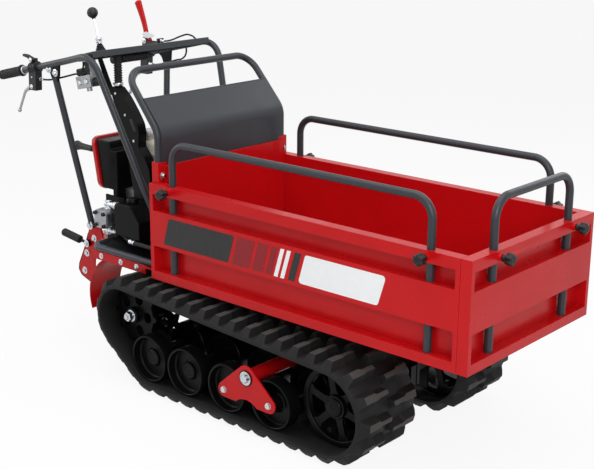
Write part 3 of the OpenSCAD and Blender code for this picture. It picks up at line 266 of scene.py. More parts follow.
def lathe(profile, at, axis, sides=48):
    """(distance, radius) pairs turned round an axis; a radius of 0 is a point on it."""
    axis = Vector(axis).normalized()
    side = axis.orthogonal().normalized()
    other = axis.cross(side)
    spokes = [side * cos(2 * pi * k / sides) + other * sin(2 * pi * k / sides) for k in range(sides)]
    verts, rings, faces = [], [], []
    for d, r in profile:
        ring = spokes if r > 0 else spokes[:1]
        rings.append(list(range(len(verts), len(verts) + len(ring))))
        verts += [Vector(at) + axis * d + spoke * r for spoke in ring]
    for a, b in zip(rings, rings[1:]):
        for i in range(sides):
            j = (i + 1) % sides
            face = [a[i % len(a)], a[j % len(a)], b[j % len(b)], b[i % len(b)]]
            face = list(dict.fromkeys(face))
            if len(face) > 2:
                faces.append(face)
    for ring in (rings[0], rings[-1]):
        if len(ring) > 1 and profile[0] != profile[-1]:
            faces.append(ring)
    return verts, faces


def stub(lo, hi, radius, ease, drop):
    """Profile of a solid stub whose far rim is eased: ease along the axis, drop in radius."""
    return [(lo, 0), (lo, radius), (hi - ease, radius), (hi, radius - drop), (hi, 0)]


def collar(lo, hi, bore, radius, ease, drop):
    """Profile of a ring whose outer rims are both eased."""
    return [(lo, bore), (lo, radius - drop), (lo + ease, radius), (hi - ease, radius),
            (hi, radius - drop), (hi, bore), (lo, bore)]


def globe(radius, first, step):
    """Profile of a ball, from an angle below its middle to its top."""
    return [(radius * sin(radians(a)), radius * cos(radians(a)) if abs(a) < 90 else 0)
            for a in range(first, 91, step)]


def bent(points, bend, step=6):
    """A line through corner points with a round bend at each corner."""
    points = [Vector(p) for p in points]
    path = [points[0]]
    for a, b, c in zip(points, points[1:], points[2:]):
        into, out = (b - a).normalized(), (c - b).normalized()
        angle = into.angle(out)
        normal = (out - into * into.dot(out)).normalized()
        middle = b - into * bend * tan(angle / 2) + normal * bend
        count = max(2, round(math.degrees(angle) / step))
        path += [middle + (into * sin(angle * k / count) - normal * cos(angle * k / count)) * bend
                 for k in range(count + 1)]
    return path + [points[-1]]


def smooth_line(points, count=8):
    """A smooth curve through given points, at one pace however unevenly they are spaced."""
    p = [Vector(q) for q in points]
    gap = [(b - a).length for a, b in zip(p, p[1:])]
    way = [(b - a) / h for a, b, h in zip(p, p[1:], gap)]
    bends = [(way[i - 1] * gap[i] + way[i] * gap[i - 1]) / (gap[i - 1] + gap[i])
             for i in range(1, len(gap))]
    lead = [way[0], *bends, way[-1]]
    line = []
    for a, b, u, v, h in zip(p, p[1:], lead, lead[1:], gap):
        for t in (k / count for k in range(count)):
            line.append(a * ((1 + 2 * t) * (1 - t) ** 2) + u * (h * t * (1 - t) ** 2)
                        + b * (t * t * (3 - 2 * t)) - v * (h * t * t * (1 - t)))
    return line + [p[-1]]


def sweep(path, radius, sides=20, across=None, flat=1.0, dome=0.0):
    """A round or oval bar along a line. radius is a number or a function of the share of the way along.

    across is the direction in which the section is flat times as wide; dome rounds both ends by that much.
    """
    size = radius if callable(radius) else lambda t: radius
    last = len(path) - 1
    along = [(path[min(i + 1, last)] - path[max(i - 1, 0)]).normalized() for i in range(last + 1)]
    side = Vector(across).normalized() if across else along[0].orthogonal().normalized()
    rings = []
    for i, (p, t) in enumerate(zip(path, along)):
        side = (side - t * side.dot(t)).normalized()
        other = t.cross(side)
        r = size(i / last)
        rings.append([p + (side * flat * cos(2 * pi * k / sides) + other * sin(2 * pi * k / sides)) * r
                      for k in range(sides)])
    if dome:
        for end, t in ((0, -along[0]), (-1, along[-1])):
            middle = path[end]
            caps = [[middle + t * dome * sin(a) + (q - middle) * cos(a) for q in rings[end]]
                    for a in (radians(30), radians(60), radians(82))]
            rings = caps[::-1] + rings if end == 0 else rings + caps
    return loft(rings)


TUBE = 22  # diameter of every frame tube


def tube(points, bend):
    return sweep(bent(points, bend), TUBE / 2, 28)


def rounded(outline, radius, count=5):
    """An outline with its corners rounded by one radius, or by one for each corner."""
    radii = radius if isinstance(radius, (list, tuple)) else [radius] * len(outline)
    result = []
    for i, (corner, r) in enumerate(zip(outline, radii)):
        b = Vector(corner)
        a, c = Vector(outline[i - 1]), Vector(outline[(i + 1) % len(outline)])
        into, out = (a - b).normalized(), (c - b).normalized()
        half = into.angle(out) / 2
        if r <= 0 or half > radians(88):
            result.append(tuple(b))
            continue
        reach = min(r / tan(half), (a - b).length * 0.48, (c - b).length * 0.48)
        r = reach * tan(half)
        middle = b + (into + out).normalized() * r / sin(half)
        first, second = b + into * reach - middle, b + out * reach - middle
        swing = first.angle_signed(second)
        for k in range(count + 1):
            turned = first.copy()
            turned.rotate(Matrix.Rotation(-swing * k / count, 2))
            result.append(tuple(middle + turned))
    return result


def slab(a0, a1, b0, b1, radius, count=5):
    """The outline of a rectangle with round corners."""
    return rounded([(a0, b0), (a1, b0), (a1, b1), (a0, b1)], radius, count)


def turned(part, origin, axis, degrees):
    spin = Matrix.Rotation(radians(degrees), 3, Vector(axis))
    return [spin @ (Vector(v) - Vector(origin)) + Vector(origin) for v in part[0]], *part[1:]


def left(part):
    """The same shape on the machine's left side."""
    return [(v[0], -v[1], v[2]) for v in part[0]], *part[1:]


def pair(*parts):
    """Shapes of the right side, and the same ones on the left."""
    return [*parts, *[left(part) for part in parts]]


def on_side(side, parts):
    """Shapes of the right side, put on the side that is named."""
    return [left(part) for part in parts] if side == "left" else parts


def bolt(at, out, across=13, height=6.0, washer=2.0):
    """A hexagon head with a chamfered crown on a round washer."""
    r = across / 2 / cos(pi / 6)
    return [lathe(stub(washer, washer + height, r, 1.2, r * 0.16), at, out, 6),
            lathe(stub(0, washer, across * 0.98, 0.5, across * 0.08), at, out, 32)]


def cap_screw(at, out, diameter, height):
    """A socket-head cap screw with its hexagon socket."""
    r, socket = diameter / 2, height * 0.45
    return lathe([(0, 0), (0, r), (height - 0.8, r), (height, r * 0.9), (height, r * 0.52),
                  (socket, r * 0.48), (socket, 0)], at, out, 24)


def show(name, body, finish, mesh, edge, steps, sharp, nodes):
    finishes = finish if isinstance(finish, (list, tuple)) else [finish]
    for material in finishes:
        mesh.materials.append(material)
    mesh.shade_smooth()
    mesh.set_sharp_from_angle(angle=radians(sharp))
    thing = bpy.data.objects.new(name, mesh)
    bpy.context.scene.collection.objects.link(thing)
    if edge:
        bevel = thing.modifiers.new("broken_edge", "BEVEL")
        bevel.width = edge * 0.001
        bevel.segments = steps
        bevel.limit_method = "ANGLE"
        bevel.angle_limit = radians(sharp)
        bevel.harden_normals = True
    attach(thing, body)
    if nodes:
        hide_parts(*([nodes] if isinstance(nodes, str) else nodes))
    return thing


def piece(name, body, finish, *parts, edge=0.0, steps=2, sharp=35, nodes=()):
    """One object from one or more shapes; a shape's third item gives its faces' finishes by number."""
    build = bmesh.new()
    for part in parts:
        made = [build.verts.new(row(v)) for v in part[0]]
        for i, f in enumerate(part[1]):
            face = build.faces.new([made[k] for k in f])
            face.material_index = part[2][i] if len(part) > 2 else 0
    bmesh.ops.recalc_face_normals(build, faces=build.faces)
    mesh = bpy.data.meshes.new(name)
    build.to_mesh(mesh)
    build.free()
    return show(name, body, finish, mesh, edge, steps, sharp, nodes)


def dress(node, body, finish, edge=1.0, steps=2, sharp=32, accent=None):
    """The node's own shape with its edges broken; accent gives faces in a place a second finish."""
    build = bmesh.new()
    build.from_mesh(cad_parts[node].data)
    bmesh.ops.remove_doubles(build, verts=build.verts, dist=2e-6)
    bmesh.ops.dissolve_limit(build, angle_limit=radians(0.4), verts=build.verts, edges=build.edges)
    for face in build.faces:
        middle = face.calc_center_median()
        spot = (middle.x * 1000 + MIDDLE, middle.y * 1000, middle.z * 1000)
        face.material_index = 1 if accent and accent(*spot) else 0
    mesh = bpy.data.meshes.new(node + "_skin")
    build.to_mesh(mesh)
    build.free()
    return show(node + "_skin", body, finish, mesh, edge, steps, sharp, node)


# Hoses and control cables, on the routes of the part's source

GRIP_X, GRIP_Z = -806, 898       # rear end of a handlebar's middle line
CORNER_X, CORNER_Z = -284, 1020  # where it bends down to the deck
BAR_SLOPE = math.atan2(CORNER_Z - GRIP_Z, CORNER_X - GRIP_X)
BAR_Y = 246


def on_bar(x):
    """Height of the handlebar's middle line."""
    return GRIP_Z + (x - GRIP_X) * tan(BAR_SLOPE)


HOUSING_X = -612
HOUSING_Z = on_bar(HOUSING_X)
CLUTCH = (-608, on_bar(-600) + 42)  # the clutch lever's pivot, as x and z
CONSOLE_X = -345


def console_at(s, y, n):
    """A point by the console: s forward along the handlebars' line and n square above it."""
    return Vector((CONSOLE_X + s * cos(BAR_SLOPE) - n * sin(BAR_SLOPE), y,
                   on_bar(CONSOLE_X) + s * sin(BAR_SLOPE) + n * cos(BAR_SLOPE)))


PORT_Y, HIGH_PORT, LOW_PORT = -192.5, 518, 428  # the pump's two fittings
HOSE_END_Y = -236
SUCTION = [(x, PORT_Y, HIGH_PORT) for x in (-295.7, -284, -273, -262, -250.3)]
PRESSURE = [(x, y, LOW_PORT) for x, y in (
    (-295.7, PORT_Y), (-289.7, PORT_Y), (-283.7, PORT_Y), (-267.5, -194.4), (-251.2, -199.3),
    (-235, -206.3), (-218.7, -214.3), (-202.5, -222.2), (-186.2, -229.2), (-170, -234.1),
    (-153.7, HOSE_END_Y), (-120, HOSE_END_Y), (-80, HOSE_END_Y), (-68.3, HOSE_END_Y))]
STEER_X, STEER_Y, STEER_Z = HOUSING_X + 17.2, 241, HOUSING_Z - 36  # where a steering cable starts
RIM = console_at(-43.5, 226.3, -11) - Vector((0, 0, 1))  # where it goes in under the console
STEERING = [
    *[(x, STEER_Y, STEER_Z) for x in (STEER_X, HOUSING_X + 23, HOUSING_X + 29)],
    (-555, 237.4, STEER_Z + 1), (-500, 230, STEER_Z + 13), (-455, 227.6, STEER_Z + 25),
    (RIM.x - 44, RIM.y, STEER_Z + 32),
    *[(RIM.x - behind, RIM.y, RIM.z - below) for behind, below in (
        (29, 42), (17, 36), (7, 28), (2, 19), (0, 11), (0, 5), (0, 0))],
]
STOP_X, STOP_Z = -535.7, CLUTCH[1] + 6  # where the clutch cable leaves its bracket
CABLE_END = console_at(-7, BAR_Y - 4, 14)
CABLE_DROP = Vector((cos(radians(30)), 0, -sin(radians(30))))
CLUTCH_CABLE = [
    *[(STOP_X + ahead, BAR_Y, STOP_Z) for ahead in (0, 6, 12)],
    *[(x, BAR_Y - inward, CLUTCH[1] + above) for x, inward, above in (
        (-500, 0, 8.5), (-475, 0, 15), (-445, 1, 26), (-418, 2, 35))],
    (CABLE_END.x - 42, BAR_Y - 3, CABLE_END.z + 10.5), (CABLE_END.x - 25, BAR_Y - 4, CABLE_END.z + 9.5),
    *[CABLE_END - CABLE_DROP * behind for behind in (12, 6, 0)],
]


def cable(name, points, diameter, nodes=()):
    line = smooth_line(points)
    made = piece(name, "root", RUBBER, sweep(line, diameter / 2, 16), sharp=60, nodes=nodes)


cable("pressure_hose", PRESSURE, 14, nodes="hydraulic_hoses")
cable("steering_cable_right", [(x, -y, z) for x, y, z in STEERING], 6, nodes="control_cables")
cable("steering_cable_left", STEERING, 6)
cable("clutch_cable", CLUTCH_CABLE, 6)


def sleeve(line, share, length, inner, outer):
    """A crimped sleeve round a hose, at a share of the way along it."""
    points = smooth_line(line)
    i = int(share * (len(points) - 1))
    half, waist = length / 2, length / 6
    profile = [(-half, inner), (-half, outer - 0.8), (1 - half, outer), (-waist, outer),
               (1 - waist, outer - 0.7), (waist - 1, outer - 0.7), (waist, outer), (half - 1, outer),
               (half, outer - 0.8), (half, inner), (-half, inner)]
    return lathe(profile, points[i], points[i + 1] - points[i], 24)


piece("suction_connector", "root", RUBBER, sweep(smooth_line(SUCTION), 12, 32), sharp=60)
piece("hose_crimps", "root", ZINC,
      sleeve(PRESSURE, 0.1, 22, 7.1, 9), sleeve(PRESSURE, 0.72, 26, 7.1, 9),
      sleeve(SUCTION, 0.12, 12, 12.1, 13.6), sleeve(SUCTION, 0.86, 12, 12.1, 13.6))


# Load box

SIDE_Y, FRONT_X = 288.5, 1138.5  # middles of the hoops' legs
SIDE_LEGS, FRONT_LEGS = (87, 1022), (-186, 186)
HOOP_FOOT, HOOP_TOP, HOOP_BEND = 391.3, 795, 55
SIDE_FACE, FRONT_FACE, KNOB_Z = 305, 1155, 649
SIDE_BACK, FRONT_BACK, RODS_TOP = 271.5, 1121.5, 390  # behind the panels are their slide rods
RAIL_TOP = 391


def hoop(place, legs):
    corners = ((legs[0], HOOP_FOOT), (legs[0], HOOP_TOP), (legs[1], HOOP_TOP), (legs[1], HOOP_FOOT))
    return tube([place(*corner) for corner in corners], HOOP_BEND)


def star_knob(at, out, sides=72):
    """A clamp knob with six lobes and its hub, then its stud; distances from the panel's face."""
    at, out = Vector(at), Vector(out)
    side = Vector((0, 0, 1))
    other = out.cross(side)
    angles = [2 * pi * k / sides for k in range(sides)]
    rings = [[at + out * d + (side * cos(a) + other * sin(a)) * (r + lobe * cos(6 * a)) for a in angles]
             for d, r, lobe in (
                 (22.5, 9.5, 0), (23.2, 12.5, 0.8), (25, 14.6, 1.7), (28, 15.1, 1.9), (39, 15.0, 1.9),
                 (42, 14.0, 1.6), (43.6, 11.6, 0.9), (44, 8.6, 0.3), (43.9, 6.4, 0), (42.6, 5.6, 0))]
    hub = lathe([(12, 0), (12, 8.8), (13, 9.6), (16, 9.2), (22.6, 8.2), (23.4, 0)], at, out, 36)
    stud = lathe([(-5.2, 0), (-5.2, 3.6), (-4.6, 4), (13, 4), (13, 0)], at, out, 20)
    return (loft(rings), hub), stud


def knob_pair(name, places, out):
    made = [star_knob(at, out) for at in places]
    piece(name + "_stars", name, ABS, *[part for knob, _ in made for part in knob], sharp=50, nodes=name)
    piece(name + "_studs", name, ZINC, *[stud for _, stud in made])


FILM_LOW, FILM_HIGH, FILM_SLANT = 484, 569, 26
STRIPES = (  # the film of the plain trim, and each block's rear, front and corner radius
    ("charcoal_stripe", DARK_FILM, ((58, 330, 5), (560, 584, 1))),
    ("wine_stripe", WINE_FILM, ((344, 412, 1), (424, 464, 1), (476, 498, 1))),
    ("white_stripe", WHITE_FILM, ((598, 872, 9), (508, 522, 1), (532, 546, 1))),
)


def film_block(rear, front, radius):
    """A slanted block of film, a hair clear of the right panel's raised band."""
    outline = [(rear, FILM_LOW), (front, FILM_LOW), (front + FILM_SLANT, FILM_HIGH),
               (rear + FILM_SLANT, FILM_HIGH)]
    return prism(rounded(outline, radius, 4), -SIDE_FACE - 0.45, -SIDE_FACE - 0.1, "y")


def weld(x0, x1, y0, y1):
    """A plug weld on a foot rail, a short raised bead in the paint."""
    return prism(slab(x0, x1, y0, y1, 2.4, 4), RAIL_TOP, RAIL_TOP + 1.1, "z")


side_welds = [weld(x, x + 26, -281.5, -276.5) for x in range(150, 1060, 130)]
for side, sign in (("right", -1), ("left", 1)):
    panel = f"side_panel_{side}"
    dress(panel, panel, [RED, ZINC], 1.5, 3, accent=lambda x, y, z: abs(y) < SIDE_BACK and z < RODS_TOP)
    piece(f"side_tube_{side}", f"side_hoop_{side}", GREY,
          hoop(lambda x, z: (x, sign * SIDE_Y, z), SIDE_LEGS), sharp=60, nodes=f"side_hoop_{side}")
    knob_pair(f"knobs_{side}", [(x, sign * SIDE_FACE, KNOB_Z) for x in SIDE_LEGS], (0, sign, 0))
    for name, film, blocks in STRIPES:
        piece(f"{name}_{side}", panel, film, *on_side(side, [film_block(*block) for block in blocks]))
    piece(f"foot_rail_welds_{side}", panel, RED, *on_side(side, side_welds), edge=0.5)

dress("front_panel", "front_panel", [RED, ZINC], 1.5, 3, accent=lambda x, y, z: x < FRONT_BACK)
piece("front_tube", "front_hoop", GREY, hoop(lambda y, z: (FRONT_X, y, z), FRONT_LEGS), sharp=60,
      nodes="front_hoop")
knob_pair("knobs_front", [(FRONT_FACE, y, KNOB_Z) for y in FRONT_LEGS], (1, 0, 0))
piece("foot_rail_welds_front", "front_panel", RED,
      *[weld(1126.5, 1131.5, y, y + 26) for y in (-120, -13, 94)], edge=0.5)

dress("box_floor", "load_box", RED, 1.0)
dress("rear_panel", "load_box", RED, 1.3, 3)
HEAD_RIGHT = [(11, -275, 677.3), (11, -275, 817), (-132, -269, 983)]
HEAD = HEAD_RIGHT + [(x, -y, z) for x, y, z in HEAD_RIGHT[::-1]]
SHEET_X = 23.8  # middle of the headboard's sheet, in front of the tubes
POST_TOP = 727.3
piece("headboard_tube", "load_box", GREY, tube(HEAD, 62), sharp=60, nodes="headboard_hoop")


def headboard():
    """Sheet bent back over a large radius, narrower between the posts, with a rolled hem."""
    line = [Vector((SHEET_X, 0, z)) for z in (693, POST_TOP - 1)]
    line += bent([(SHEET_X, 0, POST_TOP), (SHEET_X, 0, 821.7), (-51.3, 0, 908.9)], 74.8, 3)
    half, half_low, half_high = 1.5, 249, 271.5
    rings = []
    for i, p in enumerate(line):
        t = (line[min(i + 1, len(line) - 1)] - line[max(i - 1, 0)]).normalized()
        n = Vector((t.z, 0, -t.x)) * half
        y = Vector((0, half_low if i < 2 else half_high, 0))
        rings.append([p + n - y, p + n + y, p - n + y, p - n - y])
    hem = sweep([Vector((-51.6, y, 909.2)) for y in (-270.5, 270.5)], 2.4, 16)
    return loft(rings), hem


piece("headboard_skin", "load_box", GREY, *headboard(), edge=0.4, sharp=25, nodes="headboard_sheet")
piece("post_bolts", "load_box", ZINC,
      *[part for y in (-270, 270) for part in bolt((25, y, 685), (1, 0, 0))])


# Tracks

BELT, LUG, LUGS = 14, 22, 39  # belt's thickness, lug's height, lugs in each of two rows
TRACK_Y = 239
IDLER, SPROCKET = (735, 154), (-90, 220)
ROLLER_XS, ROLLER_Z = (20, 180, 356, 532), 112
BOGIE_PIVOT = (444, 172)
WHEELS = [(*IDLER, 118), (*SPROCKET, 97), (ROLLER_XS[0], ROLLER_Z, 76)]


def leave(a, b):
    """Direction in which wheel a's middle sees the belt leave it for wheel b, and their distance."""
    gap = math.hypot(b[0] - a[0], b[1] - a[1])
    return math.atan2(b[1] - a[1], b[0] - a[0]) - pi / 2 + math.asin((a[2] - b[2]) / gap), gap


def belt_line():
    """The belt's inner line, wheel by wheel: an arc and the straight run that follows it."""
    stretches = []
    for i, wheel in enumerate(WHEELS):
        following = WHEELS[(i + 1) % len(WHEELS)]
        first = leave(WHEELS[i - 1], wheel)[0]
        out, gap = leave(wheel, following)
        swing = (out - first) % (2 * pi)
        run = math.sqrt(gap ** 2 - (following[2] - wheel[2]) ** 2)
        stretches.append((*wheel, first, swing, wheel[2] * swing, run))
    return stretches


STRETCHES = belt_line()
LOOP = sum(arc + run for *_, arc, run in STRETCHES)


def belt_spot(s):
    """Place on the belt's inner line and the direction that faces outwards."""
    s %= LOOP
    for x, z, r, first, swing, arc, run in STRETCHES:
        if s <= arc:
            a = first + s / r
            return x + r * cos(a), z + r * sin(a), a
        if s <= arc + run:
            a = first + swing
            return x + r * cos(a) - (s - arc) * sin(a), z + r * sin(a) + (s - arc) * cos(a), a
        s -= arc + run
    return belt_spot(0)


def on_belt(spot, ahead, height, u):
    """A point by the right belt: ahead along it, height above its inner line, u out from its middle."""
    x, z, a = spot
    return (x + height * cos(a) - ahead * sin(a), -TRACK_Y - u, z + height * sin(a) + ahead * cos(a))


def belt_body(count=260):
    half = [(0, 12.6), (3, 14), (60, 14.6), (121, 14), (125, 10), (125, 1.5), (122, 0), (56, 0),
            (53, 2.5), (30, 2.5), (22, 0)]
    section = half + [(-u, h) for u, h in half[:0:-1]]
    spots = [belt_spot(LOOP * k / count) for k in range(count)]
    return loft([[on_belt(spot, 0, h, u) for u, h in section] for spot in spots], True)


def lug(s, outer):
    """A tread bar across half of the belt: stepped in plan, tapered, its crown a finish of its own."""
    way = 1 if outer else -1
    spot = belt_spot(s)
    root = [(-22, 124), (22, 124), (22, 60), (14, 50), (14, 3), (-16, 3), (-16, 48), (-22, 58)]
    mid = [(-16, 117), (16, 117), (16, 61), (10, 52), (10, 4), (-12, 4), (-12, 48), (-16, 57)]
    tip = [(-11, 104), (11, 104), (11, 62), (6, 54), (6, 7), (-8, 7), (-8, 48), (-11, 56)]
    verts, faces = loft([[on_belt(spot, a, h, way * u) for a, u in plan] for plan, h in (
        (root, BELT - 3), (mid, BELT + 9), (tip, BELT + LUG))])
    return verts, faces, [0] * (len(faces) - 1) + [1]


def horn(s):
    """A guide tooth inside the belt."""
    spot = belt_spot(s)
    corners = ((-1, 1), (1, 1), (1, -1), (-1, -1))
    return loft([[on_belt(spot, a * length, h, u * width) for a, u in corners]
                 for length, width, h in ((10, 20, 2), (9, 19, -8), (5, 15, -22))])


pitch = LOOP / LUGS
belt = belt_body()
bars = [lug(pitch * k, True) for k in range(LUGS)]
bars += [lug(pitch * (k + 0.5), False) for k in range(LUGS)]
bars += [horn(pitch * k) for k in range(LUGS)]
for side, nodes in (("right", "tracks"), ("left", ())):
    piece(f"belt_{side}", "root", TRACK, *on_side(side, [belt]), sharp=50, nodes=nodes)
for side in ("right", "left"):
    piece(f"tread_{side}", "root", [TRACK, CROWN], *on_side(side, bars), edge=2.0, sharp=20)


# Wheels and bogies

BORE = 10.05  # radius of the rollers' bores
HUB_FACE, SHAFT_FACE, BOGIE_FACE = 68, 76, 114  # outer faces, from the middle of the track


def out_from(place, u, side):
    """A point u out from the middle of a track, by its x and z, with the outward direction."""
    sign = -1 if side == "right" else 1
    return (place[0], sign * (TRACK_Y + u), place[1]), (0, sign, 0)


def roller_profile(closed):
    """One wheel of a roller, inner face first: lipped rim, dished web, hub with a pressed cap."""
    r = 75.2
    rim = [(61, r - 17), (61, r - 2), (63, r), (104, r), (106.4, r - 1), (107, r - 2.6), (107, r - 5.4),
           (105.6, r - 7)]
    dish = [(84, r - 9), (80, r - 13), (79, 42)]
    hub = [(79, 31), (81, 27.5), (84, 26)]
    cap = [(88.5, 25.2), (90, 23), (90, 17), (88.5, 15.5), (88, 0)] if closed else \
        [(107, 25.4), (107, 17), (104, 16), (104, BORE)]
    return rim + dish, hub + cap


def roller(x, side, closed):
    """Two wheels on a spindle, closed by caps or bored for an axle."""
    at, out = out_from((x, ROLLER_Z), 0, side)
    web, middle = roller_profile(closed)
    back = [(76, 30), (76, 50), (74, 58.2), web[0]]
    bore = [] if closed else [(74, BORE)]
    outer = lathe(web + middle + bore + back, at, out, 64)
    inward = [-c for c in out]
    inner = lathe(web + [(86, 31), (86, BORE), (74, BORE)] + back, at, inward, 64)
    hole = 0 if closed else BORE
    spindle = [(-86, hole), (-86, 26), (86, 26), (86, hole)] + ([] if closed else [(-86, hole)])
    return outer, inner, lathe(spindle, at, out, 40)


def idler():
    """Front wheel of the right track: two rims on a hub, six spokes each, wide windows between."""
    r = 117.2
    x, z = IDLER
    at, out = out_from(IDLER, 0, "right")
    rim = [(44, r - 17), (44, r - 1.5), (45.5, r), (62.5, r), (64, r - 1.5), (64, r - 15), (62, r - 17),
           (44, r - 17)]
    hub = [(-62, 12.6), (-62, 34), (-46, 37), (46, 37), (62, 36), (68, 34), (68, 0), (58, 0), (58, 12.6),
           (-62, 12.6)]
    parts = [lathe(rim, at, out, 72), lathe(rim, at, (0, 1, 0), 72), lathe(hub, at, out, 48)]
    edge = [(28, 18), (46, 11), (84, 11), (102, 22)]
    spoke = [(a, -b) for a, b in edge] + edge[::-1]
    for k in range(6):
        c, d = cos(radians(45 + 60 * k)), sin(radians(45 + 60 * k))
        outline = [(x + a * c - b * d, z + a * d + b * c) for a, b in spoke]
        parts += [prism(outline, -TRACK_Y - u - 10, -TRACK_Y - u, "y") for u in (49, -59)]
    return parts


for side in ("right", "left"):
    for i, x in enumerate(ROLLER_XS):
        node = f"roller_{side}_{i + 1}"
        piece(f"roller_wheels_{side}_{i + 1}", node, BLACK, *roller(x, side, i < 2), sharp=28, nodes=node)
    piece(f"idler_wheel_{side}", f"idler_{side}", BLACK, *on_side(side, idler()), edge=1.5, sharp=30,
          nodes=f"idler_{side}")
    hub_cap = [(-0.5, 0), (-0.5, 27), (3, 26.5), (5.5, 24), (6.5, 20), (6.5, 9), (5.4, 7.5), (5.4, 0)]
    piece(f"idler_cap_{side}", f"idler_{side}", BLACK, lathe(hub_cap, *out_from(IDLER, HUB_FACE, side), 48),
          sharp=30)
    dress(f"sprocket_{side}", f"sprocket_{side}", BLACK, 1.4, 2)
    shaft = out_from(SPROCKET, SHAFT_FACE, side)
    shaft_nut = [(3, 0), (3, 15.8), (17.5, 15.8), (19, 14), (19, 8.5), (24, 8.2), (25, 7), (25, 0)]
    piece(f"sprocket_nut_{side}", f"sprocket_{side}", ZINC, lathe(stub(0, 3, 19.5, 0.6, 1), *shaft, 40),
          lathe(shaft_nut, *shaft, 6), edge=0.5)
    dress(f"bogie_{side}", f"bogie_{side}", RED, 1.2, 3)
    pivot = out_from(BOGIE_PIVOT, BOGIE_FACE + 0.4, side)
    piece(f"bogie_pivot_bolt_{side}", "root", ZINC, lathe(stub(0, 3.2, 21.5, 0.7, 1), *pivot, 48),
          lathe(stub(3.2, 11, 13.4, 1.4, 1.8), *pivot, 6), edge=0.5)
    axle_end = [(0, 0), (0, 10), (1.2, 10), (1.6, 8.9), (6.4, 8.9), (7.4, 7.4), (7.4, 0)]
    piece(f"roller_axle_bolts_{side}", f"bogie_{side}", ZINC,
          *[lathe(axle_end, *out_from((x, ROLLER_Z), BOGIE_FACE, side), 24) for x in ROLLER_XS[2:]],
          sharp=30)

dress("chassis_frame", "root", BLACK, 1.2)
dress("ram_barrel", "ram_barrel", BLACK, 1.0)
dress("ram_rod", "ram_rod", CHROME, 0.8)


# Rear deck, drive line and guard tubes

DECK = 378
dress("rear_frame", "root", RED, 1.2)
dress("gearbox", "root", CAST, 2.5, 3)
dress("belt_cover", "root", BLACK, 3.0, 3)
dress("drive_belt", "root", RUBBER, 0.6)
GUARD = [(x, y, 389.3) for x, y in ((-35, -259), (-335, -259), (-335, -170))]
guard_plugs = [lathe([(-0.5, 0), (-0.5, 11), (1.5, 10.6), (3, 8), (3.4, 0)], at, out, 28)
               for at, out in ((GUARD[0], (1, 0, 0)), (GUARD[2], (0, 1, 0)))]
piece("guard_loops", "root", GREY, *pair(tube(GUARD, 34)), sharp=60, nodes="guard_tubes")
piece("guard_plugs", "root", ABS, *pair(*guard_plugs))

# Push-on rubber edging along the rims of the side plates
PLATE_MID, PLATE_FACE = -153, -156
PLATE_EDGE = [(-487, 378), (-509, 322), (-541, 260), (-545, 238), (-531, 221), (-478, 203)]
edging = sweep(bent([(x, PLATE_MID, z) for x, z in PLATE_EDGE], 9, 12), 3.6, 12)
piece("plate_edging", "root", RUBBER, *pair(edging), sharp=60)

FLANGE_FACE = -263
flange = brick((-330, FLANGE_FACE, 348), (-76, -260, 377.5))
piece("deck_flange", "root", RED, *pair(flange), edge=1.0)
fixings = []
for x, z in ((-455, 366), (-497, 306), (-512, 240)):
    fixings += bolt((x, PLATE_FACE, z), (0, -1, 0))
for x, y in ((-462, -120), (-400, -125), (-322, -200), (-40, -215)):
    fixings += bolt((x, y, DECK), (0, 0, 1))
for x in (-290, -194, -118):
    fixings += bolt((x, FLANGE_FACE, 363), (0, -1, 0), 10, 4, 1.5)
piece("deck_bolts", "root", ZINC, *pair(*fixings), edge=0.4)


# Engine

RECOIL_Z, RECOIL_H, RECOIL_LEAN, RECOIL_T = 536, 176, 31, 23
RECOIL_MID = (0, -30, RECOIL_Z + RECOIL_H / 2)
RECOIL_HALF = 100
SHROUD_BACK = -437  # x of the shroud's back at the foot of the recoil cover


def back_at(z):
    """x of the shroud's leaning back."""
    return SHROUD_BACK - RECOIL_LEAN * (z - RECOIL_Z) / RECOIL_H


def leaning(part):
    """A shape drawn upright behind x = 0, set on the shroud's leaning back."""
    return [(v[0] + back_at(v[2]), v[1], v[2]) for v in part[0]], *part[1:]


def recoil_panel():
    """Pressed cover: a domed slab with round corners."""
    y, z0, z1 = RECOIL_MID[1], RECOIL_Z, RECOIL_Z + RECOIL_H
    rings = []
    for depth, inset in ((0.3, 0), (14, 0), (18, 1.6), (21, 4.6), (22.6, 9), (RECOIL_T, 15)):
        half = RECOIL_HALF - inset
        outline = slab(y - half, y + half, z0 + inset, z1 - inset, 26 - inset * 0.5, 8)
        rings.append([(-depth, *p) for p in outline])
    return leaning(loft(rings))


def vent_shade_patches(count=18, reach=46):
    """A ring of vent slots round the middle of the recoil cover. They are not cut but drawn as thin dark
    patches: painted shade of the open slots.
    """
    shade_patches = []
    for k in range(count):
        a = 2 * pi * k / count
        y, z = RECOIL_MID[1] + reach * cos(a), RECOIL_MID[2] + reach * sin(a)
        # Each slot is a thin dark patch laid on the cover, its dark painted shade.
        shade_patch = prism(slab(y - 15, y + 15, z - 3, z + 3, 2.9, 4), -RECOIL_T - 0.5, 0.8 - RECOIL_T, "x")
        shade_patches.append(leaning(turned(shade_patch, (0, y, z), (1, 0, 0), math.degrees(a))))
    return shade_patches


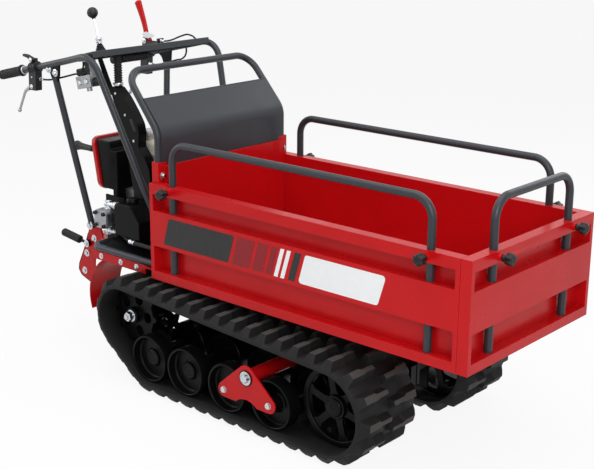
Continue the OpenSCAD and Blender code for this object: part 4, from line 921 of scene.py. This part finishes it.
piece("recoil_panel", "root", RED, recoil_panel(), sharp=40, nodes="recoil_cover")
boss = [(d - RECOIL_T, r) for d, r in ((1, 0), (1, 24), (-0.8, 23), (-1.6, 20), (-1.8, 0))]
# The dark hub boss, and the vent slots as thin dark patches of painted shade.
piece("recoil_hub_and_vent_shade", "root", ABS, *vent_shade_patches(), leaning(lathe(boss, RECOIL_MID, (1, 0, 0), 40)),
      edge=0.4)
recoil_screws = []
for y in (RECOIL_MID[1] - 84, RECOIL_MID[1] + 84):
    for z in (RECOIL_Z + 16, RECOIL_Z + RECOIL_H - 16):
        recoil_screws += bolt((back_at(z) - RECOIL_T, y, z), (-1, 0, 0), 8, 4, 1.2)
piece("recoil_screws", "root", ZINC, *recoil_screws, edge=0.3)
dress("fan_shroud", "root", BLACK, 5.0, 4)
STARTER = (-490, -113, 666)
starter_profile = [(-14, 0), (-14, 2), (3, 2), (2.6, 8), (4, 10), (12, 10.6), (30, 10.4), (50, 11),
                   (68, 12.4), (78, 14.5), (84, 16.4), (90, 16.8), (94, 14.5), (96, 9), (95.6, 0)]
piece("starter_grip", "starter_handle", ABS, lathe(starter_profile, STARTER, (-1, 0, 0), 40), sharp=45,
      nodes="starter_handle")
eyelet = lathe([(0, 2.6), (0, 9), (1.6, 9), (2.2, 8), (2.2, 3.4), (1.4, 2.6), (0, 2.6)],
               (back_at(STARTER[2]) - RECOIL_T, *STARTER[1:]), (-1, 0, 0), 32)
piece("starter_eyelet", "root", ZINC, eyelet, sharp=40)
dress("engine_block", "root", CAST, 1.2)
dress("intake_and_exhaust", "root", BLACK, 9.0, 4)


def fuel_tank():
    """Rotation-moulded tank: a loaf with a parting rib round its middle."""
    x0, x1, y0, y1, z0, z1 = -290, -140, -104, 84, 642, 734
    levels = [(z0 + h, inset) for h, inset in (
        (0, 10), (2, 5), (6, 1.8), (12, 0.8), (42, 0.6), (43, 0), (47, 0), (48, 0.6))]
    levels += [(z1 - h, inset) for h, inset in (
        (26, 1.2), (16, 3), (8, 7.5), (3, 14), (0.6, 22), (0, 34))]
    return loft([[(x, y, z) for x, y in slab(x0 + inset, x1 - inset, y0 + inset, y1 - inset,
                                             max(26 - inset * 0.4, 6), 7)] for z, inset in levels])


def filler_cap(at, sides=64, ribs=16):
    """Screw cap with a ribbed rim and a shallow dip on top."""
    rings = []
    for h, r, rib in ((8.3, 26, 0), (8.6, 29.5, 0.4), (10, 30.4, 0.6), (22, 30.2, 0.6), (25.6, 28.6, 0.4),
                      (27.6, 24.5, 0), (28.3, 16, 0), (27.4, 12, 0)):
        spokes = [(a, r + rib * cos(ribs * a)) for a in (2 * pi * k / sides for k in range(sides))]
        rings.append([(at[0] + reach * cos(a), at[1] + reach * sin(a), at[2] + h) for a, reach in spokes])
    return loft(rings)


FILLER = (-245, -68, 734)
neck = lathe([(-2, 0), (-2, 27), (4, 26), (8, 25.5), (8, 0)], FILLER, (0, 0, 1), 40)
piece("petrol_tank", "root", CREAM, fuel_tank(), neck, nodes="fuel_tank")
piece("petrol_cap", "root", MILKY, filler_cap(FILLER), sharp=50)


# Hydraulics

PUMP_X, PUMP_Z = -330, 473
PUMP_FACE, PUMP_BACK = -229.4, -160.4  # behind the pump is its black bracket
dress("gear_pump", "root", [CAST, BLACK], 1.6, 3, accent=lambda x, y, z: y > PUMP_BACK)


def pump_square(size, radius, y0, y1):
    """A plate with round corners, square on to the pump's axis."""
    half = size / 2
    return prism(slab(PUMP_X - half, PUMP_X + half, PUMP_Z - half, PUMP_Z + half, radius, 7), y0, y1, "y")


piece("pump_face_plate", "root", CAST, pump_square(60, 13, PUMP_FACE, -224), edge=1.2)
piece("pump_joint_lines", "root", IRON, *[pump_square(63.4, 14.6, y, y + 2) for y in (-205, -184)])
piece("pump_screws", "root", ABS,
      *[cap_screw((PUMP_X + a, PUMP_FACE, PUMP_Z + b), (0, -1, 0), 13, 8)
        for a in (-20.5, 20.5) for b in (-20.5, 20.5)], sharp=40)
elbow = [(-12.5, 0), (-12.5, 8.8), (12, 9.4), (13, 8.2), (20, 8.2), (21, 10.6), (30, 10.6), (31, 9.4),
         (34, 9.4), (34, 0)]
unions = []
for s in (1, -1):
    seat, top, branch = [(PUMP_X, PORT_Y, PUMP_Z + s * rise) for rise in (30, 28, 45)]
    unions += [
        lathe(stub(0, 5, 15, 1, 1), seat, (0, 0, s), 6),
        lathe(stub(5, 9, 11.6, 1, 0.8), seat, (0, 0, s), 32),
        lathe(stub(24, 30.5, 10.6, 1.5, 1.6), top, (0, 0, s), 6),
        lathe(elbow, branch, (1, 0, 0), 32),
    ]
piece("pump_unions", "root", ZINC, *unions, edge=0.4)


def reservoir():
    """Oil tank: a folded box with a chamfered front and a filler, on a foot behind the hose."""
    outline = rounded([(-250, 439), (-132, 439), (-132, 495), (-172, 545), (-236, 545), (-250, 531)],
                      [4, 4, 10, 12, 8, 8], 5)
    filler = lathe([(0, 0), (0, 20), (11, 19.5), (15, 17), (16, 12), (16, 0)], (-205, -194.5, 545),
                   (0, 0, 1), 40)
    foot = brick((-250, -159, DECK + SEAT), (-132, -153, 440))
    return prism(outline, -236, -153, "y"), foot, filler


SKIRT = [(-246, DECK + SEAT), (-162, DECK + SEAT), (-162, 414), (-174, 414), (-246, 384)]  # y and z
piece("oil_reservoir", "root", BLACK, *reservoir(), edge=4, steps=3, nodes="oil_tank")
piece("deck_skirt", "root", BLACK, prism(rounded(SKIRT, [1, 1, 4, 6, 2], 4), -304, -96, "x"), edge=1.5)

DUMP_PIVOT = Vector((-480, -164, 346))
DUMP_WAY = Vector((-cos(radians(7)), 0, sin(radians(7))))


def dump_handle():
    """Ribbed rubber handle of the dump lever."""
    profile = [(40, 0), (40, 10)]
    for d in range(40, 130, 10):
        profile += [(d + 1, 12.4), (d + 3.5, 13.8), (d + 6.5, 13.8), (d + 9, 12.4)]
    return lathe(profile + [(130, 11.5), (132.5, 8), (133, 0)], DUMP_PIVOT, DUMP_WAY, 36)


piece("dump_grip", "dump_lever", RUBBER, dump_handle(), sharp=40, nodes="dump_lever")
piece("dump_blade", "dump_lever", BLACK,
      lathe([(-5, 0), (-5, 11), (5, 11), (5, 0)], DUMP_PIVOT, (0, 1, 0), 36),
      sweep([DUMP_PIVOT + DUMP_WAY * d for d in (0, 20, 42)], 5.5, 16, across=(0, 1, 0), flat=0.8),
      edge=0.8)
piece("dump_pivot_bolt", "root", ZINC, *bolt(DUMP_PIVOT - Vector((0, 6, 0)), (0, -1, 0)), edge=0.4)


# Handlebars and console

BAR = Vector((cos(BAR_SLOPE), 0, sin(BAR_SLOPE)))
RIGHT_BAR = -BAR_Y
FOOT = Vector((-60, RIGHT_BAR + 79, DECK))
STRUT_X, STRUT_Z = -506, on_bar(-506) - 46
bar = tube([*[(x, RIGHT_BAR, on_bar(x)) for x in (-798.5, -450)], (CORNER_X, RIGHT_BAR - 28, CORNER_Z),
            FOOT + Vector((0, 0, 4.3))], 70)
strut = sweep([Vector((STRUT_X, RIGHT_BAR, STRUT_Z)), Vector((-446, -167.3, 410))], TUBE / 2, 28, dome=2)
bar_foot = [(0, 0), (0, 24), (3, 24), (4, 23), (4, 17), (6, 14.5), (9, 13), (9, 0)]
foot = lathe(bar_foot, FOOT, (0, 0, 1), 40)
piece("bar_tubes", "root", GREY, *pair(bar, strut, foot), sharp=50, nodes="handlebars")
GUSSET_FACE = RIGHT_BAR - 3.5
gusset = prism(rounded([(-560, on_bar(-560)), (-480, on_bar(-480)), (-484, STRUT_Z + 10),
                        (-492, STRUT_Z - 14), (-518, STRUT_Z - 12), (-532, STRUT_Z + 18)], 8, 4),
               GUSSET_FACE, RIGHT_BAR + 3.5, "y")
piece("strut_brackets", "root", BLACK, *pair(gusset), edge=1.2)
strut_bolts = []
for at, across in (((-501, GUSSET_FACE, STRUT_Z + 16), 13), ((-534, GUSSET_FACE, on_bar(-534) - 15), 13),
                   ((-447, -178.2, 419), 15)):
    strut_bolts += bolt(at, (0, -1, 0), across, 7)
piece("strut_bolts", "root", ZINC, *pair(*strut_bolts), edge=0.4)

dress("console", "root", GREY, 3.0, 3)


def grip(y):
    """Ribbed rubber grip with a round end and a thumb flange."""
    profile = [(0, 0), (0, 9), (1, 13), (3.4, 15.4), (8, 15.8)]
    pitch = 12.75
    for k in range(9):
        d = 10 + pitch * k
        profile += [(d, 14.9), (d + 0.9, 16.4), (d + 4.1, 16.4), (d + 5, 14.9)]
    profile += [(119, 14.9), (120.4, 17.6), (121.6, 19.4), (124.6, 19.4), (126, 18), (126, 11)]
    end_x = -802.46
    return lathe(profile, (end_x, y, on_bar(end_x)), BAR, 44)


piece("hand_grips", "root", RUBBER, grip(RIGHT_BAR), grip(BAR_Y), sharp=38, nodes="grips")
RING_X = -672
piece("grip_rings", "root", ZINC,
      *[lathe(collar(0, 6, 11.1, 14.6, 0.8, 0.6), (RING_X, y, on_bar(RING_X)), BAR, 36)
        for y in (RIGHT_BAR, BAR_Y)], sharp=40)


# Levers

dress("lever_housings", "root", ABS, 2.0, 3)
LEVER = Vector((HOUSING_X - 8, 0, HOUSING_Z - 62))  # pivots of the steering levers, between the bars


def adjuster(at):
    """Knurled barrel and lock nut where a control cable leaves its lever."""
    return [lathe(stub(-1, 5, 6.4, 1, 0.8), at, (1, 0, 0), 6),
            lathe([(5, 0), (5, 5), (15, 5), (16, 4.2), (19, 3.3), (19, 0)], at, (1, 0, 0), 20)]


bands = [lathe(collar(d, d + 5, 17.6, 19.8, 1, 0.8), (HOUSING_X, y, HOUSING_Z), BAR, 40)
         for y in (RIGHT_BAR, BAR_Y) for d in (-18, -8, 2, 13)]
pivots = [*bolt((LEVER.x, RIGHT_BAR - 13, LEVER.z), (0, -1, 0), 8, 4, 1.2),
          *bolt((LEVER.x, RIGHT_BAR + 13, LEVER.z), (0, 1, 0), 8, 4, 1.2),
          cap_screw((HOUSING_X - 2, RIGHT_BAR - 12.6, HOUSING_Z - 30), (0, -1, 0), 7, 3)]
piece("housing_bands", "root", ABS, *bands, sharp=40)
cable_starts = [(STEER_X, -STEER_Y, STEER_Z), (STEER_X, STEER_Y, STEER_Z),
                (STOP_X - SEAT, BAR_Y, STOP_Z)]
piece("cable_adjusters", "root", ZINC, *[part for at in cable_starts for part in adjuster(at)], edge=0.3)
piece("lever_pivots", "root", ZINC, *pair(*pivots), edge=0.3)


def steering_blade(y):
    """Cast lever: a flat tapered blade that curves down to a ball end."""
    path = bent([LEVER + Vector(step) for step in ((4, y, 2), (-50, y, -18), (-90, y, -92))], 46, 5)
    blade = sweep(path, lambda t: 7.4 - 2.6 * t, 20, across=(0, 1, 0), flat=0.72)
    eye = lathe(collar(-6.9, 6.9, 3.1, 9, 0.9, 1), (LEVER.x, y, LEVER.z), (0, 1, 0), 32)
    ball = lathe(globe(7, -90, 10), path[-1], path[-1] - path[-2], 24)
    return blade, eye, ball


for side, y in (("right", RIGHT_BAR), ("left", BAR_Y)):
    piece(f"steering_blade_{side}", f"steering_lever_{side}", CAST, *steering_blade(y), sharp=40,
          nodes=f"steering_lever_{side}")

THROTTLE = Vector((HOUSING_X, -258, HOUSING_Z + 28))


def throttle_paddle():
    """Thumb paddle and the ring that it turns on."""
    outline = [(THROTTLE.x + a, THROTTLE.z + b) for a, b in (
        (-8, 0), (-22, 5), (-42, 8), (-42, 16), (-18, 15), (5, 8), (4, -4))]
    paddle = prism(rounded(outline, [2, 12, 3.5, 3.5, 12, 6, 2], 5), THROTTLE.y - 5, THROTTLE.y + 4.8, "y")
    return paddle, lathe(collar(-5, 5, 5.1, 10, 1, 1), THROTTLE, (0, 1, 0), 36)


piece("throttle_paddle", "throttle_lever", ABS, *throttle_paddle(), edge=1.4, steps=3,
      nodes="throttle_lever")
piece("throttle_cap", "root", ZINC, *bolt(THROTTLE - Vector((0, 6, 0)), (0, -1, 0), 8, 3.6, 1), edge=0.3)


def by_clutch(points):
    """Places given from the clutch lever's pivot, as x and z."""
    return [(CLUTCH[0] + x, CLUTCH[1] + z) for x, z in points]


def clutch_grip():
    """Painted lever with a slim waist, a broad round top and a square foot on its pivot."""
    line = by_clutch([(-1, 2), (-5, 34), (-13, 62), (-22, 86), (-33, 112), (-42, 132)])
    path = smooth_line([(x, BAR_Y, z) for x, z in line])
    blade = sweep(path, lambda t: 10.5 + 5 * t * t, 24, across=(0, 1, 0), flat=0.66, dome=8)
    foot = by_clutch([(-13, -9), (12, -9), (13, 6), (5, 24), (-9, 24), (-14, 8)])
    return blade, prism(rounded(foot, [8, 8, 6, 6, 6, 6], 4), BAR_Y - 7.4, BAR_Y + 7.4, "y")


piece("clutch_grip", "clutch_lever", RED, *clutch_grip(), edge=1.6, steps=3, sharp=38,
      nodes="clutch_lever")
CAM = by_clutch([(-14, 17), (-12, 28), (6, 33), (45, 27), (50, 21), (30, 14), (4, 8)])
cam = prism(rounded(CAM, [4, 8, 10, 4, 3, 12, 4], 5), BAR_Y - 9.6, BAR_Y - 7.6, "y")
piece("clutch_cam", "clutch_lever", ZINC, cam, edge=0.5)
clutch_bolts = [part for s in (1, -1)
                for part in bolt((CLUTCH[0], BAR_Y + s * 14, CLUTCH[1]), (0, s, 0), 10, 5, 1.5)]
piece("clutch_pivot_bolts", "root", ZINC, *clutch_bolts, edge=0.3)

GEAR = console_at(8, -190, 50)
BOOT = console_at(8, -190, 11.3)
CONSOLE_UP = Vector((-sin(BAR_SLOPE), 0, cos(BAR_SLOPE)))
GEAR_WAY = Vector((-sin(BAR_SLOPE + radians(4)), 0, cos(BAR_SLOPE + radians(4))))
piece("gear_rod", "gear_lever", CHROME,
      lathe([(0, 0), (0, 4), (70, 4), (70, 0)], GEAR, GEAR_WAY, 24),
      lathe(collar(-4.5, 4.5, 3.1, 7, 0.7, 0.6), GEAR, (0, 1, 0), 28),
      lathe(stub(5.5, 13, 5.6, 1, 0.8), GEAR, GEAR_WAY, 6), sharp=40, nodes="gear_lever")
gear_knob = [(-20, 0), (-20, 6), (-17.6, 6.4)] + globe(17.5, -72, 6)
piece("gear_knob", "gear_lever", ABS, lathe(gear_knob, GEAR + GEAR_WAY * 84, GEAR_WAY, 40), sharp=45)


def bellows():
    """Rubber boot: a flange and four folds that get smaller upwards."""
    profile = [(0, 0), (0, 17), (2.4, 17), (3.4, 16), (4, 14)]
    for k in range(4):
        base, r = 4 + 4.9 * k, 15 - 2 * k
        profile += [(base + 1.2, r), (base + 2.4, r + 0.5), (base + 3.5, r), (base + 4.9, r - 3.6)]
    return lathe(profile + [(24, 5.6), (24, 0)], BOOT, CONSOLE_UP, 44)


def with_console(part, origin):
    """A shape drawn upright about a place, leaned with the console."""
    return turned(part, origin, (0, 1, 0), -math.degrees(BAR_SLOPE))


clevis = [prism(slab(GEAR.x - 6, GEAR.x + 6, GEAR.z - 13, GEAR.z + 6, [0.5, 0.5, 5.8, 5.8], 6),
                GEAR.y + y, GEAR.y + y + 3, "y") for y in (-8, 5)]
clevis.append(brick((GEAR.x - 6, GEAR.y - 8, GEAR.z - 13), (GEAR.x + 6, GEAR.y + 8, GEAR.z - 10)))
piece("gear_bellows", "root", RUBBER, bellows(), sharp=40, nodes="gear_boot")
gear_pin = [(-11, 0), (-11, 5), (-8, 5), (-8, 3), (8, 3), (8, 5), (12, 5), (12, 0)]
piece("gear_clevis", "root", ZINC, *[with_console(part, GEAR) for part in clevis],
      lathe(gear_pin, GEAR, (0, 1, 0), 6),
      lathe([(24, 0), (24, 6), (28, 6), (28, 0)], BOOT, CONSOLE_UP, 24), edge=0.4)


# Valve, conduits and column cover

VALVE_Y, VALVE_FACE = -195, -218


def valve_mount(x, y, z):
    """Whether a place on the valve belongs to its black mount or cap."""
    ahead, above = x - CONSOLE_X, z - on_bar(CONSOLE_X)
    s = ahead * cos(BAR_SLOPE) + above * sin(BAR_SLOPE)
    n = above * cos(BAR_SLOPE) - ahead * sin(BAR_SLOPE)
    return n > -54 or s > -38


dress("valve_block", "root", [CAST, ABS], 5.0, 4, accent=valve_mount)
ribbed_cap = [(0, 0), (0, 13.6)]
for d in range(2, 26, 4):
    ribbed_cap += [(d, 13.6), (d + 0.6, 14.6), (d + 2.4, 14.6), (d + 3, 13.6)]
ribbed_cap += [(27, 12.6), (28, 10), (28, 0)]
spool_end = [(0, 0), (0, 12), (7, 12), (8, 11), (8, 8), (16, 7.6), (17, 6.6), (17, 0)]
origin = console_at(0, 0, 0)
coil = brick((origin.x - 108, -214, origin.z - 54), (origin.x - 63, -176, origin.z - 30))
piece("valve_coil", "root", ABS, with_console(coil, origin), edge=6, steps=4)
piece("valve_caps", "root", ABS, lathe(ribbed_cap, console_at(-39, VALVE_Y, -81), BAR, 36),
      lathe(spool_end, console_at(-109, VALVE_Y, -76), -BAR, 6), sharp=40)
piece("valve_plugs", "root", ZINC,
      *[lathe(stub(0, 5, 8.4, 1, 1), console_at(s, VALVE_FACE, -75), (0, -1, 0), 6) for s in (-92, -58)],
      edge=0.5)


def ribbed(at, axis, length, pitch=8):
    """Split corrugated conduit: round ribs and flat valleys."""
    profile = [(0, 0), (0, 11.5)]
    for k in range(int(length / pitch)):
        d = pitch * k + 1
        profile += [(d, 11.5), (d + 0.7, 13.4), (d + 1.6, 14), (d + 3.4, 14), (d + 4.3, 13.4),
                    (d + 5, 11.5)]
    return lathe(profile + [(length, 11.5), (length, 0)], at, axis, 32)


DUCT_X, DUCT_Y = -328, -132
COLUMN_TOP = on_bar(DUCT_X) - 110
COLUMN_FACE, COLUMN_BACK = -150, -115
duct_top = on_bar(-342) + 7.7 / cos(BAR_SLOPE)
piece("cable_ducts", "root", RUBBER,
      ribbed((DUCT_X, DUCT_Y, COLUMN_TOP + SEAT), (0, 0, 1), duct_top - COLUMN_TOP - SEAT),
      ribbed((-330, -117.7, on_bar(DUCT_X) - 22), (0, 1, 0), 116), sharp=38, nodes="cable_conduit")
piece("duct_clip", "root", ZINC,
      lathe(collar(0, 9, 14.2, 16, 0.6, 0.4), (DUCT_X, DUCT_Y, COLUMN_TOP + 4), (0, 0, 1), 36),
      brick((-346, DUCT_Y - 9, COLUMN_TOP + 5), (-341, DUCT_Y + 9, COLUMN_TOP + 11)), edge=0.4)


def column():
    """Moulded cover over the gear rods: a curved upper shell that laps over the straight lower one."""
    front = [(x, COLUMN_TOP - drop) for x, drop in (
        (-352, 8), (-345, 0), (-318, 0), (-283, 30), (-248, 73), (-224, 107), (-216, 139), (-221, 182),
        (-196, 210), (-173, 248))]
    lower = [(-160, 560), (-158, DECK), (-232, DECK), (-254, 578), (-278, 698), (-315, COLUMN_TOP - 99)]
    radii = [3, 5, 20, 60, 80, 60, 40, 12, 30, 60, 90, 2, 2, 90, 90, 60]
    return prism(rounded(front + lower, radii, 6), COLUMN_FACE, COLUMN_BACK, "y")


piece("column_shell", "root", BLACK, column(), edge=5, steps=4, sharp=28, nodes="column_cover")
STRAP = [(-406, 982), (-385, 986), (-337, 893), (-342, 868), (-362, 890)]
strap = prism(rounded(STRAP, 3, 4), COLUMN_FACE - 0.5, COLUMN_FACE + 3.5, "y")
piece("column_strap", "root", BLACK, strap, edge=0.8)
slot_at = Vector((-244, COLUMN_FACE, COLUMN_TOP - 114))
slot_way = Vector((-16, 0, 30)).normalized()
slot = sweep([slot_at + slot_way * d for d in (-17, 17)], 6.5, 20, across=(0, 1, 0), flat=0.22, dome=5)
piece("column_slot", "root", ABS, slot, sharp=40)
SCREWS = ((-322, 880), (-278, 815), (-240, 735), (-180, 470))
column_screws = [cap_screw((x, COLUMN_FACE, z), (0, -1, 0), 9, 3.5) for x, z in SCREWS]
piece("column_screws", "root", ZINC, *column_screws, edge=0.3)


# Studio: a pale floor, a white room and large soft lamps

def seen_rays(tree, *kinds):
    """1 for the kinds of ray that are named, 0 for light on its way to the object."""
    rays = add(tree, "ShaderNodeLightPath")
    seen = rays.outputs[kinds[0]]
    for kind in kinds[1:]:
        both = add(tree, "ShaderNodeMath", {0: seen, 1: rays.outputs[kind]}, operation="MAXIMUM")
        seen = both.outputs[0]
    return seen


def studio_floor():
    """Matt white board, part of it lit for the camera alone so that it meets the white room."""
    material = bpy.data.materials.new("studio_board")
    material.use_nodes = True
    tree = material.node_tree
    skin = tree.nodes["Principled BSDF"]
    skin.inputs["Base Color"].default_value = linear("#eeeeee")
    skin.inputs["Roughness"].default_value = 0.9
    glow = add(tree, "ShaderNodeEmission", {"Color": linear("#ffffff"), "Strength": 1.0})
    seen = seen_rays(tree, "Is Camera Ray", "Is Glossy Ray")
    share = add(tree, "ShaderNodeMath", {0: seen, 1: 0.9}, operation="MULTIPLY")
    mix = add(tree, "ShaderNodeMixShader", {0: share.outputs[0], 1: skin.outputs[0], 2: glow.outputs[0]})
    tree.links.new(mix.outputs[0], tree.nodes["Material Output"].inputs["Surface"])
    mesh = bpy.data.meshes.new("studio_floor")
    reach, low = 14, -0.0006
    corners = ((-reach, -reach), (reach, -reach), (reach, reach), (-reach, reach))
    mesh.from_pydata([(x, y, low) for x, y in corners], [], [(0, 1, 2, 3)])
    mesh.materials.append(material)
    floor = bpy.data.objects.new("studio_floor", mesh)
    bpy.context.scene.collection.objects.link(floor)


def white_room():
    """White for the camera, in reflections and through glass; dimmer as a light, so hollows keep shade."""
    world = bpy.data.worlds.new("white_room")
    bpy.context.scene.world = world
    world.use_nodes = True
    tree = world.node_tree
    seen = seen_rays(tree, "Is Camera Ray", "Is Glossy Ray", "Is Transmission Ray")
    level = add(tree, "ShaderNodeMapRange", {0: seen, 3: 0.26, 4: 1.0})
    back = tree.nodes["Background"]
    back.inputs["Color"].default_value = linear("#ffffff")
    tree.links.new(level.outputs[0], back.inputs["Strength"])


def soft_lamp(name, place, target, size, watts):
    """A lamp panel; places and sizes in metres, as in the shared frame."""
    data = bpy.data.lights.new(name, "AREA")
    data.shape = "RECTANGLE"
    data.size, data.size_y = size
    data.energy = watts
    lamp = bpy.data.objects.new(name, data)
    lamp.location = place
    lamp.rotation_euler = (Vector(target) - Vector(place)).to_track_quat("-Z", "Y").to_euler()
    bpy.context.scene.collection.objects.link(lamp)


studio_floor()
white_room()
soft_lamp("overhead_box", (0.3, -0.4, 3.6), (0.1, 0, 0.4), (4.0, 3.0), 90)
soft_lamp("key_box", (3.0, -2.4, 2.2), (0.1, 0, 0.5), (2.2, 2.0), 80)
soft_lamp("rear_box", (-3.0, -1.6, 1.8), (-0.3, 0, 0.6), (1.8, 1.8), 24)
soft_lamp("far_box", (0.6, 3.2, 2.4), (0.1, 0, 0.5), (2.6, 1.6), 24)
bpy.context.scene.view_settings.view_transform = "Standard"
